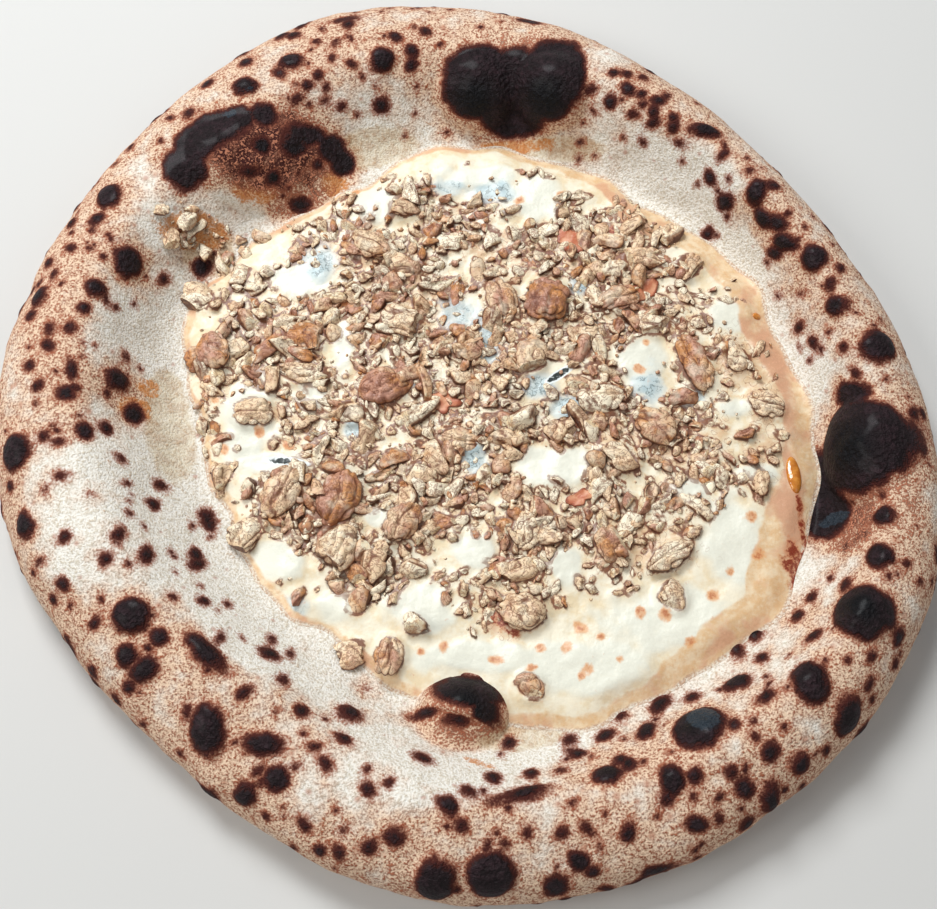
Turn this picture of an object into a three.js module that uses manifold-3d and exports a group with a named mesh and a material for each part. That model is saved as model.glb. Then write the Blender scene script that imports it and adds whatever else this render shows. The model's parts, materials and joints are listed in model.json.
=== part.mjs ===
// A wood-fired gorgonzola and walnut pizza, whole and uncut, in millimetres with +Z up.
// The origin is under the middle of the pizza, on the surface that it lies on, and -Y is the side nearest
// to the eater. The dough is one solid with its blisters, the melted cheese lies in the well with the
// walnut crumbs fused to it, and each larger walnut piece and each scrap of ham is a solid of its own.
import * as THREE from "three";
import { mergeVertices } from "three/addons/utils/BufferGeometryUtils.js";
import Module from "manifold-3d";

const wasm = await Module();
wasm.setup();

// ---------------------------------------------------------------- driving sizes

const FLOOR = 3.5; // top of the thin base, where the cheese lies
const EQUATOR = 10; // height at which the rim is widest
const FOOT = 0.78; // where the rim leaves the table, as a share of its width
const CREST = 0.56; // where the rim is highest, as a share of its width
const AROUND = 64; // steps round the pizza
const SLOPE_STEPS = 6; // steps up each side of the rim
const BUBBLE_SIDES = [12, 6]; // sides round and rows of a large bubble
const BLISTER_SIDES = [7, 4]; // the same for a small one
const GAP = 0.3; // air between two solids that touch

// An outline that isn't round: a mean radius with a few waves of { n } swells round the pizza, each { swell }
// high at { at } degrees.
const OUTER = {
  mean: 159.8,
  waves: [
    { n: 1, swell: 2.5, at: 266 },
    { n: 2, swell: 8.6, at: 308 },
    { n: 3, swell: 2.9, at: 329 },
    { n: 4, swell: 2.5, at: 2 },
    { n: 5, swell: 1.1, at: 335 },
  ],
};
const WELL = {
  mean: 106.5,
  waves: [
    { n: 1, swell: 12.7, at: 2 },
    { n: 2, swell: 6.9, at: 323 },
    { n: 3, swell: 1.2, at: 55 },
    { n: 4, swell: 1.6, at: 344 },
    { n: 6, swell: 2.1, at: 334 },
  ],
};
const CREST_HEIGHT = {
  mean: 27,
  waves: [
    { n: 2, swell: 2.0, at: 15 },
    { n: 3, swell: 1.2, at: 70 },
    { n: 5, swell: 1.0, at: 40 },
    { n: 7, swell: 0.8, at: 12 },
    { n: 11, swell: 0.5, at: 5 },
  ],
};

// Charred bubbles and blisters of the rim: x, y, half length, half width, turn in degrees, rise.
// The large bubbles come first, and the fifth of them stands up from the base beside the rim.
const BUBBLES = [
  [5, 124, 15, 15, 0, 7.5],
  [32, 121, 15, 15, 0, 7.5],
  [-72, 94, 29, 18, -10, 5.5],
  [134, -25, 18, 24, 0, 5.5],
  [0.5, -105, 15, 12, 0, 12],
  [127, -77, 10, 10, 0, 3.6],
  [75, -112, 10, 9, 0, 3.2],
];
const BLISTERS = [
  [141, 15, 6, 6, 0, 2.2],
  [109, -99, 6, 7, 0, 2.4],
  [121, -109, 5, 7, 0, 2.0],
  [122, 49, 5, 5, 0, 1.9],
  [106, 69, 6, 8, 40, 1.8],
  [-79, -114, 6, 9, 10, 2.6],
  [-105, -78, 7, 6, 0, 2.4],
  [-100, -95, 5, 4, 20, 1.6],
  [-106, -90, 4, 4, 0, 1.5],
  [9, -157, 8, 8, 0, 2.8],
  [-8, -158, 7, 8, 0, 2.6],
  [-62, -118, 7, 4, 0, 1.6],
  [-57, -129, 4, 4, 0, 1.5],
  [-67, -133, 4, 4, 0, 1.5],
  [-148, -22, 6, 7, 0, 2.3],
  [-143, -47, 4, 5, 0, 1.6],
  [-126, 76, 5, 6, 0, 2.0],
  [-146, 35, 4, 5, 0, 1.7],
  [-30, 132, 5, 5, 0, 1.9],
  [-63, 131, 5, 4, 0, 1.6],
  [-80, 121, 5, 4, 0, 1.6],
  [138, -45, 4, 4, 0, 1.5],
  [135, -58, 5, 5, 0, 1.7],
  [89, -97, 5, 4, 0, 1.7],
  [65, -129, 4, 5, 0, 1.6],
  [45, -127, 5, 4, 0, 1.4],
  [60, -112, 4, 4, 0, 1.4],
  [19, -133, 10, 3, -20, 1.6],
  [-81, -90, 9, 4, -40, 1.7],
  [96, -134, 4, 6, 0, 1.7],
  [105, -124, 4, 4, 0, 1.5],
  [129, 31, 5, 4, 0, 1.7],
  [-126, 37, 4, 4, 0, 1.4],
  [-118, 6, 6, 4, 0, 1.7],
  [-36, -107, 5, 4, 0, 1.6],
  [87, 100, 6, 3, 20, 1.5],
  [-117, 50, 6, 6, 0, 1.7],
];

// The melted cheese: thin and oily at its edge, thick from { CHEESE_SHOULDER } in.
const CHEESE_THICK = 3.4;
const CHEESE_EDGE = 0.9;
const CHEESE_SHOULDER = 10;

// Walnut pieces, largest first in each kind: x, y, length, width, turn in degrees.
const HALVES = [
  [-42, -33, 21, 15, 75],
  [-62, -31, 21, 13, 60],
  [-27, 9, 20, 14, 20],
  [82, 18, 23, 10, -65],
  [30, 42, 17, 16, 80],
  [-88, 22, 15, 12, -60],
  [-33, 64, 16, 11, -30],
  [67, -6, 16, 13, -30],
  [-20, -41, 16, 12, 60],
  [20, -72, 16, 13, -10],
  [70, -53, 18, 9, 30],
  [14, 43, 16, 11, -70],
  [56, 43, 16, 10, 20],
  [-73, -1, 14, 11, 10],
  [-1, -11, 15, 9, -10],
  [106, 2, 13, 10, -20],
  [-24, -87, 13, 10, 80],
];
const QUARTERS = [
  [-42, -50, 17, 14, 80],
  [-73, -44, 14, 11, 50],
  [24, 20, 15, 12, 70],
  [54, -18, 15, 11, -25],
  [-95, 43, 13, 9, 5],
  [-55, 28, 14, 10, -30],
  [-22, 34, 15, 11, -20],
  [2, 23, 12, 10, 0],
  [65, 58, 15, 10, -10],
  [50, 4, 14, 11, 0],
  [-30, -56, 13, 10, 70],
  [22, -44, 14, 10, 70],
  [50, -49, 13, 10, -60],
  [18, -58, 15, 8, 10],
  [96, 20, 12, 9, -60],
  [-21, 80, 12, 9, -20],
];
const CHUNKS = [
  [-57, 14, 17, 9, 5],
  [68, 33, 12, 10, -10],
  [-20, 56, 12, 10, 0],
  [70, -67, 11, 9, -60],
  [82, 56, 11, 9, 40],
  [-37, -86, 11, 10, 0],
  [-39, -1, 11, 9, -20],
  [34, -8, 12, 10, 0],
  [-14, -24, 11, 9, 0],
  [22, -97, 10, 9, 0],
];

// Thin scraps of ham that show between the nuts: x, y, length, width, turn in degrees.
const HAM = [
  [-7, 4, 14, 10, 10],
  [40, 67, 12, 12, -30],
  [65, 46, 13, 8, 35],
  [40, -32, 12, 6, 20],
];
const HAM_THICK = 0.9;

// Crumbs are scattered over the cheese by rule, inside the patch that the nuts cover, and a few of them
// lie on the inner slope of the rim: x, y, radius.
const CRUMB_COUNT = 88;
const CRUMB_RADIUS = [2.0, 3.7];
const CRUMB_RISE = 0.35; // height of a crumb's middle over the cheese, as a share of its radius
const NUT_RISE = 0.5; // height of a larger piece's middle over the cheese, as a share of its half height
const NUT_PATCH = { x: 8, y: 6, radius: 94 };
const RIM_CRUMBS = [
  [-101, 73, 3.6],
  [-93, 62, 2.8],
  [-101, 54, 3.0],
  [-106, 33, 2.8],
  [-104, 18, 2.6],
];

// ---------------------------------------------------------------- small tools

const radians = THREE.MathUtils.degToRad;
const clamp01 = (t) => THREE.MathUtils.clamp(t, 0, 1);
const ease = (t) => t * t * (3 - 2 * t);

function seeded(seed) {
  let state = seed;
  return () => {
    state = (state * 16807) % 2147483647;
    return state / 2147483647;
  };
}

function wavy({ mean, waves }, angle) {
  return waves.reduce((r, w) => r + w.swell * Math.cos(w.n * (angle - radians(w.at))), mean);
}

function solidOf(geometry) {
  const bare = geometry.clone();
  bare.deleteAttribute("normal");
  bare.deleteAttribute("uv");
  const merged = mergeVertices(bare, 1e-4);
  return new wasm.Manifold(
    new wasm.Mesh({
      numProp: 3,
      vertProperties: merged.attributes.position.array,
      triVerts: new Uint32Array(merged.index.array),
    }),
  );
}

function geometryOf(solid) {
  const { numProp, numVert, vertProperties, triVerts } = solid.getMesh();
  const position = new Float32Array(numVert * 3);
  for (let i = 0; i < numVert; i++) {
    position.set(vertProperties.subarray(i * numProp, i * numProp + 3), i * 3);
  }
  return new THREE.BufferGeometry()
    .setAttribute("position", new THREE.BufferAttribute(position, 3))
    .setIndex(new THREE.BufferAttribute(triVerts, 1));
}

function largestPart(solid) {
  return solid.decompose().reduce((a, b) => (b.volume() > a.volume() ? b : a));
}

// Moves every vertex of a geometry to where move(point) puts it.
function reshape(geometry, move) {
  const position = geometry.attributes.position;
  const point = new THREE.Vector3();
  for (let i = 0; i < position.count; i++) {
    point.fromBufferAttribute(position, i);
    move(point, i);
    position.setXYZ(i, point.x, point.y, point.z);
  }
  return geometry;
}

function matte(color, roughness) {
  return new THREE.MeshStandardMaterial({ color, roughness, metalness: 0 });
}

const MATERIALS = {
  dough: matte(0xd9bfa2, 0.9),
  cheese: matte(0xf4edcf, 0.35),
  walnut: matte(0xb98a5c, 0.6),
  ham: matte(0xc9735c, 0.45),
};

// ---------------------------------------------------------------- the dough

// Height of the dough's upper side over a point of the plan.
function doughTop(x, y) {
  const angle = Math.atan2(y, x);
  const well = wavy(WELL, angle);
  const across = clamp01((Math.hypot(x, y) - well) / (wavy(OUTER, angle) - well));
  const crest = wavy(CREST_HEIGHT, angle);
  if (across < CREST) {
    return FLOOR + (crest - FLOOR) * ease(across / CREST);
  }
  const out = (across - CREST) / (1 - CREST);
  return EQUATOR + (crest - EQUATOR) * Math.sqrt(1 - out * out);
}

// The section of base and rim at one angle, from under the middle, out round the rim, and back to the middle.
function doughSection(angle) {
  const outer = wavy(OUTER, angle);
  const well = wavy(WELL, angle);
  const crest = wavy(CREST_HEIGHT, angle);
  const at = (share) => well + (outer - well) * share;
  const points = [[0, 0]];
  const quarter = (steps, point) => {
    for (let i = 0; i < steps; i++) {
      points.push(point(((i / steps) * Math.PI) / 2));
    }
  };
  quarter(3, (t) => [at(FOOT + (1 - FOOT) * Math.sin(t)), EQUATOR * (1 - Math.cos(t))]);
  quarter(SLOPE_STEPS, (t) => [
    at(CREST + (1 - CREST) * Math.cos(t)),
    EQUATOR + (crest - EQUATOR) * Math.sin(t),
  ]);
  for (let i = 0; i < SLOPE_STEPS; i++) {
    const share = 1 - i / SLOPE_STEPS;
    points.push([at(CREST * share), FLOOR + (crest - FLOOR) * ease(share)]);
  }
  points.push([well, FLOOR], [0, FLOOR]);
  return points;
}

function bareDough() {
  const rows = doughSection(0).length;
  const profile = doughSection(0).map(([r, z]) => new THREE.Vector2(r, z));
  const turned = new THREE.LatheGeometry(profile, AROUND);
  const uv = turned.attributes.uv;
  return reshape(turned, (point, i) => {
    const angle = (Math.round(uv.getX(i) * AROUND) % AROUND) * ((2 * Math.PI) / AROUND);
    const [r, z] = doughSection(angle)[Math.round(uv.getY(i) * (rows - 1))];
    point.set(r * Math.cos(angle), r * Math.sin(angle), z);
  });
}

// An ellipsoid half sunk in the dough, square to its surface, and { grown } larger all round. It stays
// above the underside.
function blister([x, y, long, wide, turn, rise], sides, grown = 0) {
  const step = 1.5; // over which the slope is measured
  const slopeX = (doughTop(x + step, y) - doughTop(x - step, y)) / (2 * step);
  const slopeY = (doughTop(x, y + step) - doughTop(x, y - step)) / (2 * step);
  const normal = new THREE.Vector3(-slopeX, -slopeY, 1).normalize();
  const lie = new THREE.Quaternion().setFromUnitVectors(new THREE.Vector3(0, 0, 1), normal);
  const ellipsoid = new THREE.SphereGeometry(1, ...sides)
    .rotateX(Math.PI / 2)
    .scale(long + grown, wide + grown, rise + grown)
    .rotateZ(radians(turn))
    .applyQuaternion(lie)
    .translate(x, y, doughTop(x, y));
  return reshape(ellipsoid, (point) => {
    point.z = Math.max(point.z, FLOOR / 2);
  });
}

function doughSolid() {
  let dough = solidOf(bareDough());
  for (const bubble of BUBBLES) {
    dough = dough.add(solidOf(blister(bubble, BUBBLE_SIDES)));
  }
  for (const spot of BLISTERS) {
    dough = dough.add(solidOf(blister(spot, BLISTER_SIDES)));
  }
  for (const [x, y, radius] of RIM_CRUMBS) {
    dough = dough.add(solidOf(crumb({ x, y, radius, spin: 10 * x, squash: 0.8 })));
  }
  return dough;
}

// ---------------------------------------------------------------- the cheese and its crumbs

function cheeseTop(x, y) {
  const inward = wavy(WELL, Math.atan2(y, x)) - GAP - Math.hypot(x, y);
  const body = ease(clamp01(inward / CHEESE_SHOULDER));
  const swell = 0.5 * Math.sin(x / 17 + 1) * Math.cos(y / 21 - 0.4) + 0.35 * Math.sin((x + y) / 11);
  return FLOOR + CHEESE_EDGE + (CHEESE_THICK - CHEESE_EDGE + swell) * body;
}

function bareCheese() {
  const rows = [0, 1, 1, 0.96, 0.9, 0.75, 0.5, 0.25, 0];
  const profile = rows.map((share, row) => new THREE.Vector2(share, row > 1 ? 1 : 0));
  const turned = new THREE.LatheGeometry(profile, AROUND);
  const uv = turned.attributes.uv;
  return reshape(turned, (point, i) => {
    const angle = (Math.round(uv.getX(i) * AROUND) % AROUND) * ((2 * Math.PI) / AROUND);
    const row = Math.round(uv.getY(i) * (rows.length - 1));
    const r = rows[row] * (wavy(WELL, angle) - GAP);
    const x = r * Math.cos(angle);
    const y = r * Math.sin(angle);
    point.set(x, y, row > 1 ? cheeseTop(x, y) : FLOOR);
  });
}

// What the toppings rest on, over any point of the well or the rim.
function restingHeight(x, y) {
  const inside = Math.hypot(x, y) < wavy(WELL, Math.atan2(y, x)) - GAP;
  return inside ? cheeseTop(x, y) : doughTop(x, y);
}

// Places for the crumbs, drawn over the nut patch and kept clear of each other and of every larger piece.
function crumbPlaces(pieces) {
  const random = seeded(4207);
  const places = [];
  while (places.length < CRUMB_COUNT) {
    const out = NUT_PATCH.radius * Math.sqrt(random());
    const angle = 2 * Math.PI * random();
    const x = NUT_PATCH.x + out * Math.cos(angle);
    const y = NUT_PATCH.y + out * Math.sin(angle);
    const radius = THREE.MathUtils.lerp(...CRUMB_RADIUS, random());
    const free = pieces.every(([px, py, reach]) => Math.hypot(x - px, y - py) > reach + radius + GAP);
    const apart = places.every((p) => Math.hypot(x - p.x, y - p.y) > radius + p.radius);
    const inWell = Math.hypot(x, y) < wavy(WELL, Math.atan2(y, x)) - CHEESE_SHOULDER;
    if (free && apart && inWell) {
      places.push({ x, y, radius, spin: random() * 360, squash: 0.6 + 0.35 * random() });
    }
  }
  return places;
}

// A broken crumb of nut, a third sunk in what it lies on.
function crumb({ x, y, radius, spin, squash }) {
  return new THREE.OctahedronGeometry(1.1 * radius, 0)
    .scale(1, squash, 1)
    .rotateX(radians(spin))
    .rotateZ(radians(spin * 2))
    .translate(x, y, restingHeight(x, y) + CRUMB_RISE * radius);
}

// ---------------------------------------------------------------- walnut pieces and ham

const WALNUT_SHAPES = {
  // A half kernel: two wrinkled lobes with a groove along the top.
  half: {
    tall: 0.62,
    base: () => new THREE.SphereGeometry(1, 8, 6).rotateZ(Math.PI / 2),
    radius: (d, phase) => {
      const groove = d.z > 0 ? 0.26 * Math.exp(-((d.y / 0.28) ** 2)) : 0;
      return 1 - groove + 0.09 * Math.sin(7 * d.x + phase) * Math.cos(4 * d.y + phase);
    },
  },
  // A quarter: one lobe, broken flat along one side.
  quarter: {
    tall: 0.66,
    base: () => new THREE.OctahedronGeometry(1, 2),
    radius: (d, phase) => (d.y < -0.3 ? 0.78 : 1) + 0.11 * Math.sin(6 * d.x + 3 * d.z + phase),
  },
  // A chunk: broken on all sides.
  chunk: {
    tall: 0.6,
    base: () => new THREE.DodecahedronGeometry(1, 0),
    radius: (d, phase) => 1 + 0.16 * Math.sin(5 * d.x + 7 * d.y + phase) * Math.cos(6 * d.z + phase),
  },
};

// One walnut piece, lying a quarter sunk at its place, and { grown } larger all round.
function walnut({ kind, spec: [x, y, long, wide, turn] }, grown = 0) {
  const { tall, base, radius } = WALNUT_SHAPES[kind];
  const phase = x * 0.7 + y * 1.3;
  const half = new THREE.Vector3(long / 2, wide / 2, (tall * wide) / 2);
  const lumpy = reshape(base(), (point) => point.multiplyScalar(radius(point.clone(), phase)));
  return lumpy
    .scale(half.x + grown, half.y + grown, half.z + grown)
    .rotateZ(radians(turn))
    .translate(x, y, restingHeight(x, y) + NUT_RISE * half.z);
}

// A thin scrap of ham draped over what it lies on, both faces split alike.
function hamScrap([x, y, long, wide, turn], grown = 0) {
  const sheet = new THREE.BoxGeometry(2, 2, 1, 4, 3, 1);
  const spin = radians(turn);
  return reshape(sheet, (point) => {
    const rounding = 1 - 0.28 * point.x ** 2 * point.y ** 2;
    const u = point.x * (long / 2 + grown) * rounding;
    const v = point.y * (wide / 2 + grown) * rounding;
    const above = point.z > 0 ? HAM_THICK + grown : -grown;
    const px = x + u * Math.cos(spin) - v * Math.sin(spin);
    const py = y + u * Math.sin(spin) + v * Math.cos(spin);
    const ripple = 0.35 * (1 + Math.sin(px * 0.9) * Math.cos(py * 0.8));
    point.set(px, py, restingHeight(px, py) + GAP + ripple + above);
  });
}

// ---------------------------------------------------------------- the pizza

const pizza = new THREE.Group();

function addPart(name, solid, material, [x, y, z] = [0, 0, 0]) {
  const mesh = new THREE.Mesh(geometryOf(solid).translate(-x, -y, -z), material);
  mesh.name = name;
  mesh.position.set(x, y, z);
  pizza.add(mesh);
}

const dough = doughSolid();
addPart("dough", dough, MATERIALS.dough);

let cheese = solidOf(bareCheese());
for (const bubble of BUBBLES) {
  cheese = cheese.subtract(solidOf(blister(bubble, BUBBLE_SIDES, GAP)));
}

// Solids that the toppings are cut back from, raised by the gap.
const raised = [
  solidOf(bareCheese().translate(0, 0, GAP)),
  solidOf(bareDough().translate(0, 0, 1.5 * GAP)),
  ...BUBBLES.map((bubble) => solidOf(blister(bubble, BUBBLE_SIDES, 2 * GAP))),
];

const ham = HAM.map((spec) => ({ spec, solid: solidOf(hamScrap(spec)) }));
ham.forEach(({ spec: [x, y], solid }, i) => {
  addPart(`ham_${i + 1}`, solid, MATERIALS.ham, [x, y, restingHeight(x, y)]);
});

const pieces = [
  ...HALVES.map((spec) => ({ kind: "half", spec })),
  ...QUARTERS.map((spec) => ({ kind: "quarter", spec })),
  ...CHUNKS.map((spec) => ({ kind: "chunk", spec })),
];
const inTheWay = [...raised, ...HAM.map((spec) => solidOf(hamScrap(spec, GAP)))];
const counts = { half: 0, quarter: 0, chunk: 0 };
for (const piece of pieces) {
  const [x, y] = piece.spec;
  const cut = inTheWay.reduce((left, other) => left.subtract(other), solidOf(walnut(piece)));
  counts[piece.kind] += 1;
  const name = `walnut_${piece.kind}_${counts[piece.kind]}`;
  addPart(name, largestPart(cut), MATERIALS.walnut, [x, y, restingHeight(x, y)]);
  inTheWay.push(solidOf(walnut(piece, GAP)));
}

const keepOff = [...HALVES, ...QUARTERS, ...CHUNKS, ...HAM].map(([x, y, long]) => [x, y, long / 2]);
for (const place of crumbPlaces(keepOff)) {
  cheese = cheese.add(solidOf(crumb(place)));
}
addPart("cheese", largestPart(cheese), MATERIALS.cheese);

export default pizza;
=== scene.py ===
# %% [markdown]
# # A gorgonzola and walnut pizza
# The pizza is a ring of puffed dough round a shallow well of melted cheese, with broken walnuts strewn over
# the middle. This lesson dresses a fixed model of it: the sizes are settled, and what is added here is the
# skin of each thing, as close to the real one as meshes and shaders bring it.

import itertools
import json
import math

import bmesh
import bpy
import numpy as np
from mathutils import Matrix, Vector, kdtree

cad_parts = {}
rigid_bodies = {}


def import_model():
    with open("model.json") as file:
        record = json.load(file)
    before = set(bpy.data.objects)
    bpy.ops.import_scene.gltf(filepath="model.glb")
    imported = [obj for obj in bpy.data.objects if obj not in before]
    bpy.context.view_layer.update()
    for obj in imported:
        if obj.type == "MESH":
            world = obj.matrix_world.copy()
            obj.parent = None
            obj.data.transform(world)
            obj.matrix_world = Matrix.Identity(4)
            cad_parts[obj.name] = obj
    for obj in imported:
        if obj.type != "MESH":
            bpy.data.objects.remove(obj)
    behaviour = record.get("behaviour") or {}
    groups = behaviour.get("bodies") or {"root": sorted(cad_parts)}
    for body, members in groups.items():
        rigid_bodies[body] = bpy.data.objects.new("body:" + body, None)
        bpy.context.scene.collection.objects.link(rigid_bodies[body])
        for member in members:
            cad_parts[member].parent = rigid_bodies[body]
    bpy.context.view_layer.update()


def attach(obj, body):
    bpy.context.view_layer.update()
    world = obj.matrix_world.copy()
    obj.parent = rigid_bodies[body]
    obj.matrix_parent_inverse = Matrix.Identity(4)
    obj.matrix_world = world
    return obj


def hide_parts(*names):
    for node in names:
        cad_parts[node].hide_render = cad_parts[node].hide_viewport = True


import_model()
MM = 0.001

# %% [markdown]
# ## Where the picture is taken from
# The eater looks down on the pizza from close by, so the near rim is a little larger than the far one. A
# lens somewhat longer than a phone's, half a metre away and tilted 70 degrees down, gives that view. The
# light is a broad soft sky from behind the pizza, which draws pale sheens on the black bubbles, with a
# window at the left and a weak fill from the front.

# %% Camera, lights and floor
LOOK_AT = Vector((2.2, -18.0, 12.0)) * MM
DISTANCE = 0.50
TILT = math.radians(70)
LENS = 56.25


def aim(thing, target):
    """Turns a camera or a light towards a point."""
    thing.rotation_euler = (target - thing.location).to_track_quat("-Z", "Y").to_euler()


def link(thing):
    """Puts an object in the scene."""
    bpy.context.scene.collection.objects.link(thing)
    return thing


camera = link(bpy.data.objects.new("camera", bpy.data.cameras.new("camera")))
camera.data.lens = LENS
camera.data.clip_start = 0.01
camera.location = LOOK_AT + DISTANCE * Vector((0, -math.cos(TILT), math.sin(TILT)))
aim(camera, LOOK_AT)
bpy.context.scene.camera = camera


def softbox(name, place, width, watts, colour):
    """A square studio light that faces the middle of the pizza."""
    lamp = bpy.data.lights.new(name, "AREA")
    lamp.shape = "SQUARE"
    lamp.size = width
    lamp.energy = watts
    lamp.color = colour
    thing = link(bpy.data.objects.new(name, lamp))
    thing.location = place
    aim(thing, Vector((0, 0, 0)))


softbox("sky", (-0.35, 0.75, 1.05), 0.5, 15.5, (0.95, 0.98, 1.0))
softbox("window", (-0.9, -0.2, 0.9), 0.6, 5.5, (1.0, 0.98, 0.95))
softbox("fill", (0.7, -0.7, 0.9), 0.9, 2.0, (1.0, 0.96, 0.9))

world = bpy.data.worlds.new("room")
world.use_nodes = True
room = world.node_tree.nodes["Background"].inputs
room["Color"].default_value = (0.93, 0.96, 1.0, 1)
room["Strength"].default_value = 0.21
bpy.context.scene.world = world
bpy.context.scene.view_settings.view_transform = "Standard"
print("camera at", [round(v, 3) for v in camera.location])

# %% [markdown]
# ## A way to write materials as sums
# A material is a graph of small nodes. Placed by hand in the editor they soon hide what is meant, so a
# socket is wrapped here in a class that knows +, -, * and abs. An expression such as 1 - mask * 0.5 then
# adds its Math nodes by itself. Every other kind of node comes from one method, which sets the node's
# settings and then its inputs. Baked food is a stack of stains, so one more method lays thin coats of colour
# over each other.

# %% Sockets that can be added and multiplied
def srgb(red, green, blue):
    """A colour as seen on a screen, 0 to 255, as the linear colour that a shader wants."""
    def linear(value):
        value /= 255
        return value / 12.92 if value <= 0.04045 else ((value + 0.055) / 1.055) ** 2.4

    return (linear(red), linear(green), linear(blue), 1.0)


class Wire:
    """A node's output, with which sums can be written."""

    def __init__(self, graph, socket):
        self.graph = graph
        self.socket = socket

    def sum(self, operation, first, second=0.0):
        return self.graph.node("ShaderNodeMath", {"operation": operation}, {0: first, 1: second})

    def __add__(self, other):
        return self.sum("ADD", self, other)

    __radd__ = __add__

    def __sub__(self, other):
        return self.sum("SUBTRACT", self, other)

    def __rsub__(self, other):
        return self.sum("SUBTRACT", other, self)

    def __mul__(self, other):
        return self.sum("MULTIPLY", self, other)

    __rmul__ = __mul__

    def __abs__(self):
        return self.sum("ABSOLUTE", self)


class Graph:
    """A tree of nodes under construction."""

    def __init__(self, tree):
        self.tree = tree

    def node(self, kind, settings, inputs, output=0):
        """Adds a node, sets its settings, then its inputs to values or wires, and gives back one output."""
        made = self.tree.nodes.new(kind)
        for name, value in settings.items():
            setattr(made, name, value)
        for name, value in inputs.items():
            if isinstance(value, Wire):
                self.tree.links.new(value.socket, made.inputs[name])
            else:
                made.inputs[name].default_value = value
        return Wire(self, made.outputs[output]) if made.outputs else None


class Finish(Graph):
    """A material under construction."""

    def __init__(self, name):
        self.material = bpy.data.materials.new(name)
        self.material.use_nodes = True
        super().__init__(self.material.node_tree)
        self.tree.nodes.clear()
        self.place = self.node("ShaderNodeTexCoord", {}, {}, "Object")

    def painted(self, *names):
        """Numbers that the mesh carries at each of its points."""
        return [self.node("ShaderNodeAttribute", {"attribute_name": name}, {}, "Fac") for name in names]

    def mottle(self, size_mm, detail=3.0, roughness=0.55, warp=0.0):
        """Cloudy noise with patches about that size, centred on zero and seldom past -0.8 or 0.8."""
        inputs = {"Vector": self.place, "Scale": 1 / (size_mm * MM), "Detail": detail,
                  "Roughness": roughness, "Distortion": warp}
        return self.node("ShaderNodeTexNoise", {}, inputs, "Fac") * 3.0 - 1.5  # the bare noise is 0.5 at rest

    def warped(self, size_mm, amount_mm):
        """The object's own coordinates, pushed about so that a pattern on them bends."""
        inputs = {"Vector": self.place, "Scale": 1 / (size_mm * MM), "Detail": 1.0}
        noise = self.node("ShaderNodeTexNoise", {}, inputs, "Color")
        push = {0: noise, 1: (amount_mm * MM,) * 3, 2: self.place}
        return self.node("ShaderNodeVectorMath", {"operation": "MULTIPLY_ADD"}, push)

    def cells(self, size_mm, feature="F1", place=None):
        """Distance to the nearest of scattered points, or to their borders, as a share of the size."""
        inputs = {"Vector": place or self.place, "Scale": 1 / (size_mm * MM)}
        return self.node("ShaderNodeTexVoronoi", {"feature": feature}, inputs, "Distance")

    def ramp(self, value, low, high):
        """0 where the value is at low, 1 where it is at high, and a soft step between."""
        inputs = {"Value": value, "From Min": low, "From Max": high}
        return self.node("ShaderNodeMapRange", {"interpolation_type": "SMOOTHSTEP"}, inputs)

    def blend(self, share, first, second):
        """From the first colour to the second as the share goes from 0 to 1. A plain colour is 0 to 255."""
        first, second = (tone if isinstance(tone, Wire) else srgb(*tone) for tone in (first, second))
        return self.node("ShaderNodeMix", {"data_type": "RGBA"}, {0: share, 6: first, 7: second}, 2)

    def coats(self, colour, *coats):
        """Lays coats over a colour, each given as the number that drives it, its ramp, strength and tone."""
        for drive, low, high, strength, tone in coats:
            share = self.ramp(drive, low, high)
            colour = self.blend(share if strength == 1 else share * strength, colour, tone)
        return colour

    def shade(self, colour, amount):
        """The colour made lighter or darker by an amount that is centred on zero."""
        return self.node("ShaderNodeHueSaturation", {}, {"Color": colour, "Value": 1 + amount})

    def bump(self, height, depth_mm, strength=1.0):
        """Small relief, as a normal."""
        inputs = {"Height": height, "Distance": depth_mm * MM, "Strength": strength}
        return self.node("ShaderNodeBump", {}, inputs)

    def finish(self, colour, roughness, normal=None, **more):
        """Closes the material with a Principled shader."""
        inputs = {"Base Color": colour, "Roughness": roughness}
        if normal:
            inputs["Normal"] = normal
        inputs.update({name.replace("_", " "): value for name, value in more.items()})
        shader = self.node("ShaderNodeBsdfPrincipled", {}, inputs)
        self.node("ShaderNodeOutputMaterial", {}, {"Surface": shader})
        return self.material


# %% [markdown]
# ## The floor
# A pale sheet under the pizza, large enough to fill the picture.

# %% Floor
FLOOR_HALF = 3.0


def flat_sheet(name, half):
    """A square in the plane of the table."""
    corners = [(-half, -half, 0), (half, -half, 0), (half, half, 0), (-half, half, 0)]
    mesh = bpy.data.meshes.new(name)
    mesh.from_pydata(corners, [], [(0, 1, 2, 3)])
    return link(bpy.data.objects.new(name, mesh))


pale = Finish("pale_floor")
floor = flat_sheet("floor", FLOOR_HALF)
floor.data.materials.append(pale.finish(srgb(214, 213, 210), 0.9))

# %% [markdown]
# ## Random numbers that stay the same
# Dough and nuts are lumpy, and the lumps have to fall in the same places on each run. This noise gives every
# small cube of space a number worked out from its own coordinates, and blends the eight nearest.

# %% Lumps
def hashed(cells, seed):
    """A repeatable number from -1 to 1 for each cell of whole-number coordinates, mixed by large primes."""
    mixed = cells[..., 0] * 73856093 ^ cells[..., 1] * 19349663 ^ cells[..., 2] * 83492791 ^ seed * 40503
    mixed = (mixed ^ (mixed >> 13)) * 1274126177 & 0xFFFFFFFF
    mixed = (mixed ^ (mixed >> 16)) * 2246822519 & 0xFFFFFFFF
    return (mixed ^ (mixed >> 15)) / 0x7FFFFFFF - 1


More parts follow.
